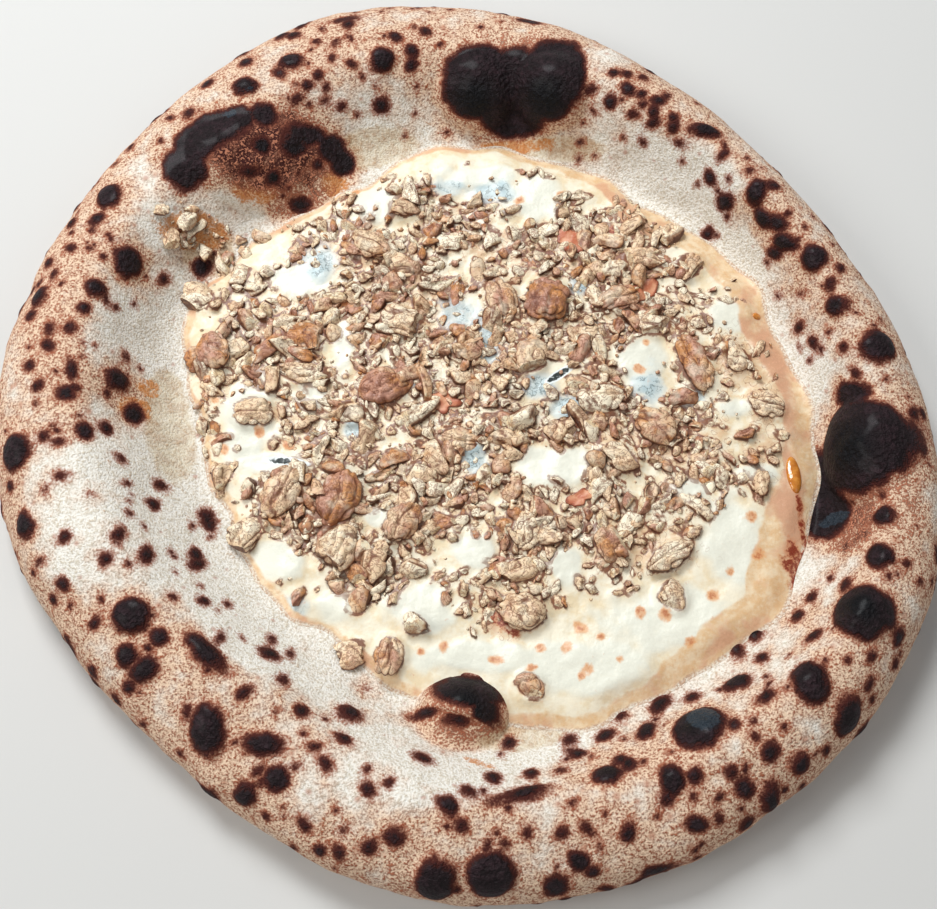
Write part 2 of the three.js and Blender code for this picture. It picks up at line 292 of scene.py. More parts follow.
def lumps(points, size, seed):
    """Smooth random hills and hollows about that size across, from -1 to 1."""
    scaled = points / size
    cell = np.floor(scaled).astype(np.int64)
    inside = scaled - cell
    blend = inside * inside * (3 - 2 * inside)
    total = np.zeros(points.shape[:-1])
    for corner in itertools.product((0, 1), repeat=3):
        weight = np.prod(np.where(corner, blend, 1 - blend), axis=-1)
        total += weight * hashed(cell + np.array(corner), seed)
    return total


def ease(share):
    """A soft step from 0 to 1."""
    share = np.clip(share, 0, 1)
    return share * share * (3 - 2 * share)


def in_plan(x, y):
    """Points of the table's plane, for lumps that don't change with height."""
    return np.stack([x, y, np.zeros_like(x)], axis=-1)


def all_round(count):
    """Evenly spaced directions all the way round."""
    return np.linspace(0, 2 * math.pi, count, endpoint=False)


# %% [markdown]
# ## The outlines
# A hand-stretched pizza is never round. Its outer edge, the edge of its well and the height of its rim are
# each a mean value with a few waves on it. The waves are the same as in the fixed model, so the skin fits
# it.

# %% Outlines of the rim and the well, in millimetres
FLOOR = 3.5  # top of the dough in the well
EQUATOR = 10.0  # height at which the rim is widest
FOOT = 0.78  # where the rim leaves the table, as a share of its width
CREST = 0.56  # where the rim is highest, as a share of its width
GAP = 0.3  # between the well and the cheese of the fixed model

# mean radius or height, then waves: how many swells, how high, and at how many degrees
OUTER = (159.8, [(1, 2.5, 266), (2, 8.6, 308), (3, 2.9, 329), (4, 2.5, 2), (5, 1.1, 335)])
WELL = (106.5, [(1, 12.7, 2), (2, 6.9, 323), (3, 1.2, 55), (4, 1.6, 344), (6, 2.1, 334)])
CREST_HEIGHT = (27.0, [(2, 2.0, 15), (3, 1.2, 70), (5, 1.0, 40), (7, 0.8, 12), (11, 0.5, 5)])


def wavy(outline, angle):
    """The radius or height of an outline at an angle."""
    mean, waves = outline
    return mean + sum(swell * np.cos(n * (angle - math.radians(at))) for n, swell, at in waves)


def rim_share(x, y):
    """How far across the rim a point of the plan is: 0 at the edge of the well, 1 at the outer edge."""
    angle = np.arctan2(y, x)
    well = wavy(WELL, angle)
    return (np.hypot(x, y) - well) / (wavy(OUTER, angle) - well)


def dough_top(x, y):
    """Height of the dough's upper side over a point of the plan."""
    crest = wavy(CREST_HEIGHT, np.arctan2(y, x))
    across = np.clip(rim_share(x, y), 0, 1)
    inner = FLOOR + (crest - FLOOR) * ease(across / CREST)
    out = np.clip((across - CREST) / (1 - CREST), 0, 1)
    outer = EQUATOR + (crest - EQUATOR) * np.sqrt(1 - out * out)
    return np.where(across < CREST, inner, outer)


print("rim is widest at", round(float(wavy(OUTER, math.radians(308))), 1), "mm from the middle")

# %% [markdown]
# ## The skin of the dough
# The rim is one closed surface: under the base, out round the rim, over its crest, down into the well. It is
# made as a fine grid of rows and columns that follows the same section as the fixed model. A grid is chosen
# rather than a subdivided model because every one of its points can then be pushed out by a blister or a
# lump, and can carry the amount of char it has.

# %% Section of the rim as a grid
COLUMNS = 840
BASE_ROWS, FOOT_ROWS, SIDE_ROWS, SLOPE_ROWS = 12, 10, 26, 30
SIDE_START = BASE_ROWS + FOOT_ROWS
HEM = (0, 1.2, 2.4, 3.6, 4.8, 6, 7.2, 8.4, 9.6, 10.8, 12, 14, 20)  # rows inside the well, under the cheese


def rim_grid():
    """Points of the dough's skin in rows from under the middle to over the middle, each row all round."""
    angle = all_round(COLUMNS)
    outer = wavy(OUTER, angle)
    well = wavy(WELL, angle)
    crest = wavy(CREST_HEIGHT, angle)
    foot = well + (outer - well) * FOOT
    rows = []

    def row(radius, height):
        height = np.broadcast_to(height, angle.shape)
        rows.append(np.stack([radius * np.cos(angle), radius * np.sin(angle), height], axis=-1))

    for share in np.linspace(0.06, 0.98, BASE_ROWS):
        row(foot * share, 0.0)
    for turn in np.linspace(0, math.pi / 2, FOOT_ROWS, endpoint=False):
        row(well + (outer - well) * (FOOT + (1 - FOOT) * math.sin(turn)), EQUATOR * (1 - math.cos(turn)))
    for turn in np.linspace(0, math.pi / 2, SIDE_ROWS, endpoint=False):
        radius = well + (outer - well) * (CREST + (1 - CREST) * math.cos(turn))
        row(radius, EQUATOR + (crest - EQUATOR) * math.sin(turn))
    for share in np.linspace(1, 0, SLOPE_ROWS, endpoint=False):
        row(well + (outer - well) * CREST * share, FLOOR + (crest - FLOOR) * ease(share))
    for inward in HEM:
        row(well - inward, FLOOR)
    for share in (0.6, 0.2):
        row(well * share, FLOOR)
    return np.array(rows)


def grid_normals(grid):
    """The outward direction at each point of a grid that closes on itself in its columns."""
    along = np.roll(grid, -1, axis=1) - np.roll(grid, 1, axis=1)
    up = np.gradient(grid, axis=0)
    normal = np.cross(along, up)
    return normal / np.maximum(np.linalg.norm(normal, axis=-1, keepdims=True), 1e-9)


rim = rim_grid()
rim_normals = grid_normals(rim)
print("dough grid:", rim.shape[0], "rows of", rim.shape[1])

# %% [markdown]
# ## Bubbles, blisters and leopard spots
# In a wood oven the thin skin over each gas bubble burns first, which gives the rim its bubbles, its
# blisters and its many small dark spots. All three are the same thing at three sizes: a dome with a patch of
# char on it. The bubbles, the blisters and about 230 of the spots are placed one by one where the real pizza
# has them. Random ones are added only where nobody looks closely: real spots low on the outside, and faint
# specks above.

# %% Domes on the rim: x, y, half length, half width, turn in degrees, rise
BUBBLES = [
    (5, 124, 15, 15, 0, 7.5), (32, 121, 15, 15, 0, 7.5), (-72, 94, 29, 18, -10, 5.5),
    (135, -19, 17, 19, 0, 8.5), (0, -104.5, 16, 12.5, 0, 12.5), (127, -77, 10, 10, 0, 3.6),
    (75, -112, 10, 9, 0, 3.2),
]
BLISTERS = [
    (141, 15, 6, 6, 0, 2.2), (109, -99, 6, 7, 0, 2.4), (121, -109, 5, 7, 0, 2.0), (122, 49, 5, 5, 0, 1.9),
    (104, 75, 4, 4.5, 0, 1.5), (107, 67, 3.6, 4, 30, 1.3), (113, 58, 4, 3, 0, 1.3),
    (-79, -114, 6, 9, 10, 2.6), (-105, -78, 7, 6, 0, 2.4), (-100, -95, 5, 4, 20, 1.6),
    (-106, -90, 4, 4, 0, 1.5), (9, -157, 8, 8, 0, 2.8), (-8, -158, 7, 8, 0, 2.6), (-62, -118, 7, 4, 0, 1.6),
    (-57, -129, 4, 4, 0, 1.5), (-67, -133, 4, 4, 0, 1.5), (-148, -22, 6, 7, 0, 2.3),
    (-143, -47, 4, 5, 0, 1.6), (-126, 76, 5, 6, 0, 2.0), (-146, 35, 4, 5, 0, 1.7), (-30, 132, 5, 5, 0, 1.9),
    (-63, 131, 5, 4, 0, 1.6), (-80, 121, 5, 4, 0, 1.6), (138, -45, 4, 4, 0, 1.5), (135, -58, 5, 5, 0, 1.7),
    (89, -97, 5, 4, 0, 1.7), (65, -129, 4, 5, 0, 1.6), (45, -127, 5, 4, 0, 1.4), (60, -112, 4, 4, 0, 1.4),
    (19, -133, 10, 3, 20, 1.6), (-81, -90, 9, 4, -40, 1.7), (96, -134, 4, 6, 0, 1.7),
    (105, -124, 4, 4, 0, 1.5), (129, 31, 5, 4, 0, 1.7), (-126, 37, 4, 4, 0, 1.4), (-118, 6, 6, 4, 0, 1.7),
    (-36, -107, 5, 4, 0, 1.6), (87, 100, 6, 3, -15, 1.5), (-117, 50, 6, 6, 0, 1.7),
]
# char without a dome of its own, on the large bubbles and along the edge: x, y, half length, half width, turn
CHAR = [
    (6, 127, 14, 14, 0), (33, 125, 13, 15, 0), (19, 119, 15, 11, 0), (19, 129, 10, 9, 0),
    (-100, 88, 8, 9, 0), (-97, 97, 8, 9, -30), (-90, 103, 10, 8, 20), (-82, 107, 8, 6, 10),
    (-73, 109, 5.5, 5, 0), (-57, 106, 10, 4, -10), (-49, 104, 6, 6, 0), (-45, 100, 5, 5, 0),
    (-55, 98, 3, 3, 0), (-74, 100, 3.5, 3.5, 0), (-79, 91, 4, 2, 0), (-71, 91, 3, 3, 0), (-60, 83, 4, 3, 0),
    (-63, 102, 6, 4, 10), (135, -18, 17, 17, 0), (124, -27, 9, 14, 0), (125, -38, 10, 9, 0),
    (133, 1, 8, 5, 0), (2, -99, 13, 6.5, -8), (-12, -107, 5, 2.5, 0), (8, -106, 6, 5, -30),
    (-2, -111, 5, 2.5, 0), (127, -77, 10, 10, 0), (75, -112, 9, 9, 0), (-44, 151, 7, 2.5, 5),
    (25, 153, 5, 2.5, 0), (72, -142, 4, 2.5, 0), (61, -155, 6, 3, 0), (29, -160, 4, 5, 0),
    (153, -73, 3, 5, 0), (-112, -5, 4, 4, 0), (-132, -3, 4, 3, 0), (-146, 8, 3, 3, 0), (-95, 57, 4, 4, 0),
    (-31, 119, 3, 3, 0), (54, 114, 3, 3, 0), (54, 89, 3, 3.5, 0), (115, 56, 4, 2.5, 0), (87, -131, 3, 3, 0),
    (-128, -87, 3, 5, 0), (-87, -39, 3, 5, 30), (-50, -107, 3, 3, 0),
]
# broad browned patches: x, y, half length, half width, turn, strength
BROWNED = [
    (-72, 99, 32, 18, -8, 1.5), (-60, 86, 17, 9, 20, 1.0), (18, 124, 31, 24, 0, 1.0),
    (-77, 138, 26, 9, 28, 0.5), (106, 67, 15, 11, -50, 0.85), (133, -24, 25, 31, 0, 1.0),
    (131, -45, 14, 12, 0, 1.2), (144, -40, 12, 20, 0, 0.85), (55, -124, 24, 13, 0, 0.6),
    (78, -135, 22, 17, 0, 0.4), (-117, 7, 12, 15, 0, 0.65), (-117, 50, 11, 9, 0, 0.6),
    (0, -108, 17, 12, 0, 1.0), (127, -77, 14, 14, 0, 0.7), (75, -112, 14, 13, 0, 0.6),
    (-60, -122, 13, 12, 0, 0.35), (30, -156, 26, 8, 0, 0.3), (122, 40, 14, 20, 20, 0.35),
    (-84, 76, 18, 9, 30, 0.35), (-40, 143, 26, 9, 8, 0.4), (128, -95, 20, 16, 30, 0.5),
    (-137, 22, 18, 42, 0, 0.6), (-122, 84, 26, 18, 40, 0.45), (-15, 140, 50, 13, 0, 0.6),
    (112, -74, 14, 14, 0, 0.3), (-95, -106, 38, 14, -38, 0.35), (115, 52, 14, 20, 30, 0.4),
    (148, -20, 9, 60, 0, 0.4), (60, -118, 40, 12, 20, 0.4), (-94, 66, 14, 9, 20, 0.6),
    (122, -104, 26, 12, 50, 0.5),
]
# floury patches, which stayed pale: x, y, half length, half width, turn
FLOURY = [
    (-112, -44, 32, 26, 0), (-70, -80, 22, 10, -40), (-15, -128, 24, 9, 0), (88, 73, 34, 14, -50),
    (-118, 22, 12, 16, 0), (20, -118, 20, 6, 10), (120, 0, 8, 26, 0),
]

# leopard spots: half size, then the places that have one of it
SPOTS = [
    (1.1, [
        (-121, -38), (-107, -61), (-115, -73), (122, -62), (119, 40), (119, 24), (127, 24), (122, 18),
        (-130, 61), (-124, 59), (-138, 39), (-115, 36), (-128, 16), (-128, 11), (-135, -14), (-39, 115),
        (-32, 124), (-37, 126), (-109, 99), (85, 85), (95, 82), (66, 101), (59, 104), (-71, -83),
        (-31, -97), (-29, -126), (-58, -108), (64, -120), (44, -139), (42, -149), (121, -93), (105, -89),
    ]),
    (1.6, [
        (-109, -43), (-77, -71), (-126, -74), (-22, -130), (-138, 88), (-129, 53), (-125, 50), (-121, 52),
        (-123, 34), (-147, 15), (-142, -6), (-133, -20), (-61, 121), (-42, 142), (-18, 147), (-50, 121),
        (-50, 117), (-107, 110), (-121, 98), (-126, 92), (55, 124), (48, 113), (65, 111), (-63, -126),
        (-51, -125), (-62, -130), (71, -134),
    ]),
    (2.0, [
        (-114, -23), (-111, -32), (-136, -36), (-137, -59), (-93, -71), (-150, -33), (31, -125), (34, -136),
        (31, -145), (8, -149), (20, -145), (91, -111), (85, -112), (113, 43), (131, 17), (155, -7),
        (-145, 50), (-140, 15), (-120, 0), (-129, -1), (-138, -18), (-52, 146), (-54, 140), (-45, 116),
        (60, 124), (66, 123), (65, 115), (62, 109), (69, 105), (71, 112), (76, 105), (102, 83), (94, 93),
        (114, 66), (-62, -82), (-56, -87), (-46, -119), (-29, -132), (-36, -144), (-114, -105),
        (-105, -100), (52, -106), (79, -140), (79, -134), (91, -116), (143, -61), (138, -92), (147, -66),
    ]),
    (2.5, [
        (-102, -29), (-131, -32), (-103, -37), (-128, -52), (-114, -60), (-89, -53), (-88, -57),
        (-128, -67), (-84, -71), (-117, -80), (-12, -122), (2, -132), (10, -127), (22, -126), (37, -119),
        (35, -114), (0, -143), (38, -143), (13, -148), (40, -156), (15, -115), (98, -88), (75, -100),
        (116, -68), (111, -74), (111, 56), (90, 71), (131, 45), (127, 39), (123, 23), (134, 7), (151, -8),
        (-139, 67), (-137, 54), (-142, 44), (-155, 49), (-116, 49), (-129, 29), (-107, 49), (-140, 21),
        (-133, 21), (-116, 16), (-142, 0), (-125, -16), (-119, -13), (-67, 126), (-57, 121), (-53, 125),
        (-63, 145), (-48, 132), (-41, 130), (-47, 139), (-25, 142), (-14, 145), (-19, 136), (-19, 131),
        (-61, 116), (-100, 111), (60, 117), (54, 114), (47, 119), (69, 108), (74, 114), (76, 102), (78, 97),
        (93, 90), (89, 85), (110, 77), (-77, -84), (-57, -97), (-68, -102), (-86, -108), (-37, -116),
        (-42, -124), (-48, -142), (-43, -149), (-28, -149), (-119, -96), (46, -113), (63, -135), (54, -159),
        (83, -127), (125, -66), (129, -91), (128, -99),
    ]),
    (3.1, [
        (-102, -57), (-20, -146), (97, -78), (91, -84), (96, -103), (65, -102), (119, 30), (-139, 75),
        (-129, 66), (-148, 28), (-131, 6), (-80, 133), (-43, 148), (95, 77), (-95, -85), (-62, -88),
        (-37, -150), (50, -122), (51, -145), (88, -132), (95, -121), (104, -124), (-94, 126), (-111, -51),
        (-4, -137), (36, -153), (-30, 119), (104, 76), (111, 64), (72, -128), (72, -142), (138, -85),
        (113, -83), (52, -123),
    ]),
]


class Dome:
    """A rounded place on the skin: which points it covers, and how far each is from its middle."""

    def __init__(self, middle, normal, long, wide, turn):
        side = Vector((math.cos(math.radians(turn)), math.sin(math.radians(turn)), 0))
        normal = Vector(normal)
        side = (side - side.dot(normal) * normal).normalized()
        self.middle = np.array(middle)
        self.size = min(long, wide)
        self.frame = np.array([side / long, normal.cross(side) / wide, normal / (1.6 * max(long, wide))])

    def share(self, points):
        """0 at the middle, 1 at the edge, more outside."""
        return np.linalg.norm((points - self.middle) @ self.frame.T, axis=-1)


def on_top(x, y):
    """The point of the dough's upper side there, and the direction that it faces."""
    step = 1.5
    slope_x = (dough_top(x + step, y) - dough_top(x - step, y)) / (2 * step)
    slope_y = (dough_top(x, y + step) - dough_top(x, y - step)) / (2 * step)
    return (x, y, float(dough_top(x, y))), Vector((-slope_x, -slope_y, 1)).normalized()


def beside(x, y, place):
    """Distance from the middle of a turned oval of the plan, as a share of its half sizes."""
    across, up, long, wide, turn = place
    cosine, sine = math.cos(math.radians(turn)), math.sin(math.radians(turn))
    along = (x - across) * cosine + (y - up) * sine
    aside = (y - up) * cosine - (x - across) * sine
    return np.hypot(along / long, aside / wide)


def ovals(points, places):
    """1 inside some turned ovals of the plan, easing to 0 outside."""
    x, y = points[..., 0], points[..., 1]
    return np.max([ease((1.3 - beside(x, y, place)) / 0.6) for place in places], axis=0)


RANDOM_SPOTS = 330
LOW_ROWS, HIGH_ROWS = (16, 33), (33, 74)  # of the rim's grid: low outside, and from there up and inwards


def random_spots():
    """Row, column, radius, narrowness and turn of small domes: real spots low outside, faint ones above."""
    draw = np.random.default_rng(77)
    spots = []
    for _ in range(RANDOM_SPOTS):
        low = draw.random() < 0.5
        row = int(draw.integers(*(LOW_ROWS if low else HIGH_ROWS)))
        radius = min(4.0, 1.3 + draw.exponential(0.8)) if low else draw.uniform(0.8, 1.4)
        column = int(draw.integers(0, COLUMNS))
        spots.append((row, column, radius, draw.uniform(0.7, 1.0), draw.uniform(0, 180)))
    return spots


# %% [markdown]
# ## Pushing out the skin and marking the char
# Each dome lifts the points that it covers, large ones partly along the dome's own direction. The same sweep
# writes numbers on every point: how deep it lies inside the nearest char, in millimetres, how browned the
# dough round it is, and whether it is on a large bubble. The shader sharpens them afterwards, which gives
# crisp edges that a coarse painted picture wouldn't.

# %% Sweep over all the domes
def skin_lumps(points):
    """The small unevenness of risen dough."""
    return 0.75 * lumps(points, 19.0, 11) + 0.42 * lumps(points, 8.0, 12) + 0.16 * lumps(points, 3.4, 13)


def clear_of_table(height):
    """0 for skin that lies on the table, 1 from a few millimetres up, where lumps can rise."""
    return ease((height - 1.5) / 6.0)


NO_CHAR = -30.0
SPOT_RISE = 0.22  # of a leopard spot, as a share of its half size


def sweep_rim():
    """How far and which way the skin is lifted, and the numbers on it."""
    points = rim
    wobble = 1.1 * lumps(points, 7.0, 3) + 0.7 * lumps(points, 2.6, 4)
    lift = np.zeros(points.shape[:2])
    char = np.full(points.shape[:2], NO_CHAR)
    across = rim_share(points[..., 0], points[..., 1])
    brown = 0.38 * ease((across - 0.25) / 0.4) + 0.25 * ease((across - 0.8) / 0.2)
    brown += 0.16 * lumps(points, 22.0, 5)
    tops = np.zeros(points.shape[:2])
    push = rim_normals.copy()

    def mark(dome):
        depth = (1 - dome.share(points)) * dome.size + wobble * min(1.0, 0.3 + dome.size / 6)
        np.maximum(char, depth, out=char)

    for index, (x, y, long, wide, turn, rise) in enumerate(BUBBLES + BLISTERS):
        large = index < len(BUBBLES)
        fullness, lean = (0.8, 0.4) if large else (0.55, 0.2)
        middle, normal = on_top(x, y)
        dome = Dome(middle, normal, long, wide, turn)
        share = dome.share(points)
        height = rise * np.clip(1 - share ** 2, 0, 1) ** fullness
        higher = height > lift
        lift[higher] = height[higher]
        push[higher] = (1 - lean) * rim_normals[higher] + lean * np.array(normal)
        if large:
            np.maximum(tops, ease(1.15 - share), out=tops)
        else:
            mark(dome)
    for x, y, long, wide, turn in CHAR:
        mark(Dome(*on_top(x, y), long, wide, turn))
    small = []
    for size, places in SPOTS:
        for x, y in places:
            # a rule on the place makes each spot a little different
            long, wide = size * (1 + 0.1 * ((x + y) % 4)), size * (1.05 - 0.07 * (x % 5))
            small.append(Dome(*on_top(x, y), long, wide, 11 * x + 17 * y))
    for row, column, radius, narrow, turn in random_spots():
        small.append(Dome(points[row, column], rim_normals[row, column], radius, radius * narrow, turn))
    for dome in small:
        mark(dome)
        height = SPOT_RISE * dome.size * np.clip(1 - dome.share(points) ** 2, 0, 1)
        np.maximum(lift, height, out=lift)
    for x, y, long, wide, turn, strength in BROWNED:
        share = Dome(*on_top(x, y), long, wide, turn).share(points)
        np.maximum(brown, strength * ease((1.35 - share + 0.08 * wobble) / 0.9), out=brown)
    brown -= 0.45 * ovals(points, FLOURY)
    return lift, push, char, brown, tops


# glossy black places that carry a painted blue-grey sky reflection, and drops of amber fat that soaked in:
# x, y, half length, half width, turn
GLOSSY_SHEENS = [(126, -40, 4.5, 2.6, 10), (77, -111, 5, 4, 20), (-85, 110, 3, 2, 0), (-78, 118, 2.5, 1.5, 30)]
AMBER = [
    (-109, 7, 4, 3.5, -15), (-112, -2, 5, 4, 0), (-92, 65, 4, 2, 10), (20, 108, 16, 2.5, 0),
    (-77, 85, 9, 4, 10), (-48, 92, 6, 6, 0), (6, -122, 6, 1.2, -20), (-97, 68, 12, 6, 20),
]
# clear fat that ran on over the dough
GREASY = [
    (-101, -8, 8, 20, 10), (-104, 8, 6, 8, 0), (-32, 106, 16, 7, 12), (20, -112, 16, 6, 8),
    (34, 106, 20, 4, -10), (-92, 62, 10, 8, 40),
]
lift, push, char, brown, tops = sweep_rim()
rough = skin_lumps(rim) + tops * (0.6 * lumps(rim, 4.5, 14) + 0.25 * lumps(rim, 2.2, 15))
skin = rim + push * lift[..., None] + rim_normals * (rough * clear_of_table(rim[..., 2]))[..., None]
skin[..., 2] = np.maximum(skin[..., 2], 0.0)
print("highest bubble:", round(float(skin[..., 2].max()), 1), "mm")

# %% [markdown]
# ## From points to a piece
# Every piece here is made by the same few lines: points in millimetres become a mesh in metres with its
# object at the origin, its numbers are stored as attributes, and the part of the fixed model that it dresses
# is hidden. Round things are rows of points that are closed at both ends, so no seam shows.

# %% Making a piece
def mesh_of(name, points, faces, numbers):
    """A smooth mesh from points in millimetres, with numbers on its points."""
    mesh = bpy.data.meshes.new(name)
    mesh.from_pydata((np.asarray(points) * MM).tolist(), [], [list(map(int, face)) for face in faces])
    mesh.polygons.foreach_set("use_smooth", np.ones(len(mesh.polygons), dtype=bool))
    for label, values in numbers.items():
        layer = mesh.attributes.new(label, "FLOAT", "POINT")
        layer.data.foreach_set("value", np.asarray(values, dtype=np.float32).ravel())
    mesh.update()
    return mesh


def make_piece(name, mesh, material, slot, *nodes):
    """An object that rides on the pizza and stands for nodes of the fixed model."""
    mesh.materials.clear()
    mesh.materials.append(material)
    piece = link(bpy.data.objects.new(name, mesh))
    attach(piece, "root")
    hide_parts(*nodes)
    return piece


def triangles(mesh):
    """How many triangles a mesh comes to."""
    return sum(face.loop_total - 2 for face in mesh.polygons)


def closed_grid(grid, numbers):
    """Closes rows of points, first and last with a fan round a middle point, as points, faces and numbers."""
    rows, columns = grid.shape[:2]
    points = np.concatenate([grid.reshape(-1, 3), grid[:1].mean(axis=1), grid[-1:].mean(axis=1)])
    first, last = rows * columns, rows * columns + 1
    here = np.arange(columns)
    after = (here + 1) % columns
    faces = []
    for row in range(rows - 1):
        low, high = row * columns, (row + 1) * columns
        faces += np.stack([low + here, low + after, high + after, high + here], axis=-1).tolist()
    faces += [(first, b, a) for a, b in zip(here, after)]
    faces += [(last, a, b) for a, b in zip(here + (rows - 1) * columns, after + (rows - 1) * columns)]
    closed = {
        label: np.concatenate([values.ravel(), [values[0].mean(), values[-1].mean()]])
        for label, values in numbers.items()
    }
    return points, faces, closed


# %% [markdown]
# ## What baked and burnt dough looks like
# Pale dough is floury cream with a fine grain. Towards a burnt spot it turns brown, then dark red-brown,
# then black, and the black is glassy where a bubble's skin has carbonised. On the tops of the large bubbles
# and on a few glossy places the black is given a painted blue-grey sheen, which stands for the sky's
# reflection. So one number, the depth inside the char, drives three soft steps, each of them roughened by
# noise of its own. A second number, the browning, does the same for broad patches. Fat that ran over the rim
# leaves smooth buttery places and amber stains. Tiny specks that the mesh is too coarse to carry come from a
# pattern of cells.

# %% Dough finish
def dough_finish():
    """Floury dough with brown halos, dark spots and glossy black bubbles that carry a painted blue-grey
    sheen.
    """
    f = Finish("baked_dough")
    depth, brown, tops, under = f.painted("char", "brown", "tops", "under")
    glaze, amber, grease = f.painted("glaze", "amber", "grease")
    cloud = f.mottle(15.0, 3.0)
    patch = f.mottle(4.5, 3.0, 0.6)
    fleck = f.mottle(1.6, 3.0, 0.7)
    grain = f.mottle(0.8, 1.0, 0.7)
    salt = fleck * 0.45 + grain * 0.6

    near = f.ramp(depth + patch * 1.5, -9.0, -0.5)
    warm = f.ramp(brown + near * 0.4 + cloud * 0.35 + patch * 0.25, 0.05, 0.85)
    light = f.blend(warm, (252, 248, 239), (244, 214, 184))
    dim = f.blend(warm, (206, 195, 176), (140, 76, 50))
    faint = f.ramp(f.cells(6.3) + salt * 0.12 + patch * 0.1, 0.20 + brown * 0.12, 0.05)
    dough = f.blend(faint * 0.55, f.blend(f.ramp(salt, -0.45, 0.6), light, dim), (176, 104, 74))
    oily = f.ramp(grease + patch * 0.4 + cloud * 0.2, 0.3, 0.9)
    buttery = f.blend(f.ramp(patch + salt * 0.5, -0.5, 0.5), (226, 210, 178), (190, 158, 120))
    scorched = f.ramp(brown + salt * 0.6 + patch * 0.7, 0.85, 1.5)
    soot = f.blend(f.ramp(salt + patch * 0.4, 0.05, 0.35), (62, 25, 24), (188, 124, 96))
    dough = f.coats(
        f.blend(oily * 0.6, dough, buttery),
        (amber + patch * 0.6 + salt * 0.5, 0.3, 1.1, 0.8, (206, 130, 62)),
        (brown + salt * 0.5 + patch * 0.35, 0.6, 1.15, 0.85, (150, 82, 56)))
    dough = f.blend(scorched, dough, soot)

    halo = f.ramp(depth + salt * 1.0 + patch * 0.8, -1.9, 0.3) * (1 - scorched)
    dark = f.ramp(depth + salt * 0.7 + patch * 0.5, -0.6, 0.8)
    black = f.ramp(depth + salt * 0.8 + patch * 0.7, 0.8, 2.3)
    char = f.blend(f.ramp(patch * 0.5 + fleck * 0.5, -0.2, 0.5), (26, 15, 18), (50, 33, 38))
    # partly painted sheen: the tops of the large bubbles go a bluish black, blacker char with a painted blue
    # sky sheen
    char = f.blend(f.ramp(tops + fleck * 0.2, 0.5, 1.1), char, (7, 8, 12))
    # glossy black places: smoother below in the roughness, and a painted blue-grey sky reflection in the
    # colour
    gloss_and_sheen = black * f.ramp(glaze + patch * 0.6 + fleck * 0.2, 0.4, 0.8)
    for share, tone in ((halo * 0.85, (156, 84, 58)), (dark, (74, 33, 27)), (black, char),
                        (gloss_and_sheen * 0.8, (44, 56, 66))):
        dough = f.blend(share, dough, tone)

    base = f.coats(
        f.blend(f.ramp(patch + fleck * 0.4, -0.15, 0.5), (214, 178, 134), (150, 92, 50)),
        (f.cells(17.0) + patch * 0.25, 0.30, 0.16, 1, (42, 22, 16)))
    colour = f.shade(f.blend(under, dough, base), salt * 0.12)

    roughness = 0.85 - black * 0.22 + fleck * 0.08 - gloss_and_sheen * 0.25 - oily * (1 - black) * 0.35
    height = grain * 0.25 + fleck * 0.3 + patch * 0.25 + black * (f.cells(1.7) * 1.6 + fleck * 0.5)
    return f.finish(colour, roughness, f.bump(height, 0.5, 0.9), IOR=1.28,
                    Coat_Weight=black * 0.06, Coat_Roughness=0.2)


under = ease((3.0 - rim[..., 2]) / 3.0) * (np.arange(len(rim))[:, None] < SIDE_START + 2)
dough_mesh = mesh_of("dough_skin", *closed_grid(skin, {
    "char": char, "brown": brown, "tops": tops, "under": under,
    "glaze": ovals(rim, GLOSSY_SHEENS), "amber": ovals(rim, AMBER), "grease": ovals(rim, GREASY)}))
make_piece("dough_skin", dough_mesh, dough_finish(), "dough", "dough")
print("dough skin:", triangles(dough_mesh), "triangles")

# %% [markdown]
# ## Where the nuts lie
# Broken walnuts were strewn by hand over the middle, thickly, with bare islands of cheese between. The lists
# below are the larger kernels, the same as in the fixed model, and the places in the cheese. How thickly the
# small rubble lies is a rule: an oval with a ragged edge, less the bare islands and the kernels themselves.

# %% Places of the toppings: x, y, length, width, turn in degrees
HALVES = [
    (-42, -33, 21, 15, 75), (-62, -31, 21, 13, 60), (-27, 9, 20, 14, 20), (82, 18, 23, 10, -65),
    (30, 42, 17, 16, 80), (-88, 22, 15, 12, -60), (-33, 64, 16, 11, -30), (67, -6, 16, 13, -30),
    (-20, -41, 16, 12, 60), (20, -72, 16, 13, -10), (70, -53, 18, 9, 30), (14, 43, 16, 11, -70),
    (56, 43, 16, 10, 20), (-73, -1, 14, 11, 10), (-1, -11, 15, 9, -10), (106, 2, 13, 10, -20),
    (-24, -87, 13, 10, 80),
]
QUARTERS = [
    (-42, -50, 17, 14, 80), (-73, -44, 14, 11, 50), (24, 20, 15, 12, 70), (54, -18, 15, 11, -25),
    (-95, 43, 13, 9, 5), (-55, 28, 14, 10, -30), (-22, 34, 15, 11, -20), (2, 23, 12, 10, 0),
    (65, 58, 15, 10, -10), (50, 4, 14, 11, 0), (-30, -56, 13, 10, 70), (22, -44, 14, 10, 70),
    (50, -49, 13, 10, -60), (18, -58, 15, 8, 10), (96, 20, 12, 9, -60), (-21, 80, 12, 9, -20),
]
CHUNKS = [
    (-57, 14, 17, 9, 5), (68, 33, 12, 10, -10), (-20, 56, 12, 10, 0), (70, -67, 11, 9, -60),
    (82, 56, 11, 9, 40), (-37, -86, 11, 10, 0), (-39, -1, 11, 9, -20), (34, -8, 12, 10, 0),
    (-14, -24, 11, 9, 0), (22, -97, 10, 9, 0),
]
HAM = [(-7, 4, 14, 10, 10), (40, 67, 12, 12, -30), (65, 46, 13, 8, 35), (40, -32, 12, 6, 20)]
RIM_CRUMBS = [
    (-107, 71, 2.4), (-99, 70, 3.4), (-104, 63, 3.2), (-96, 46, 4.6), (-92, 21, 5.4), (-86, 61, 2.4),
    (-74, 70, 3.2), (-79, 63, 2.6),
]

# crumbs that fell beside the heap: x, y, half length, half width
SPILL = [(-85, 47, 6, 20), (-97, 69, 11, 7)]

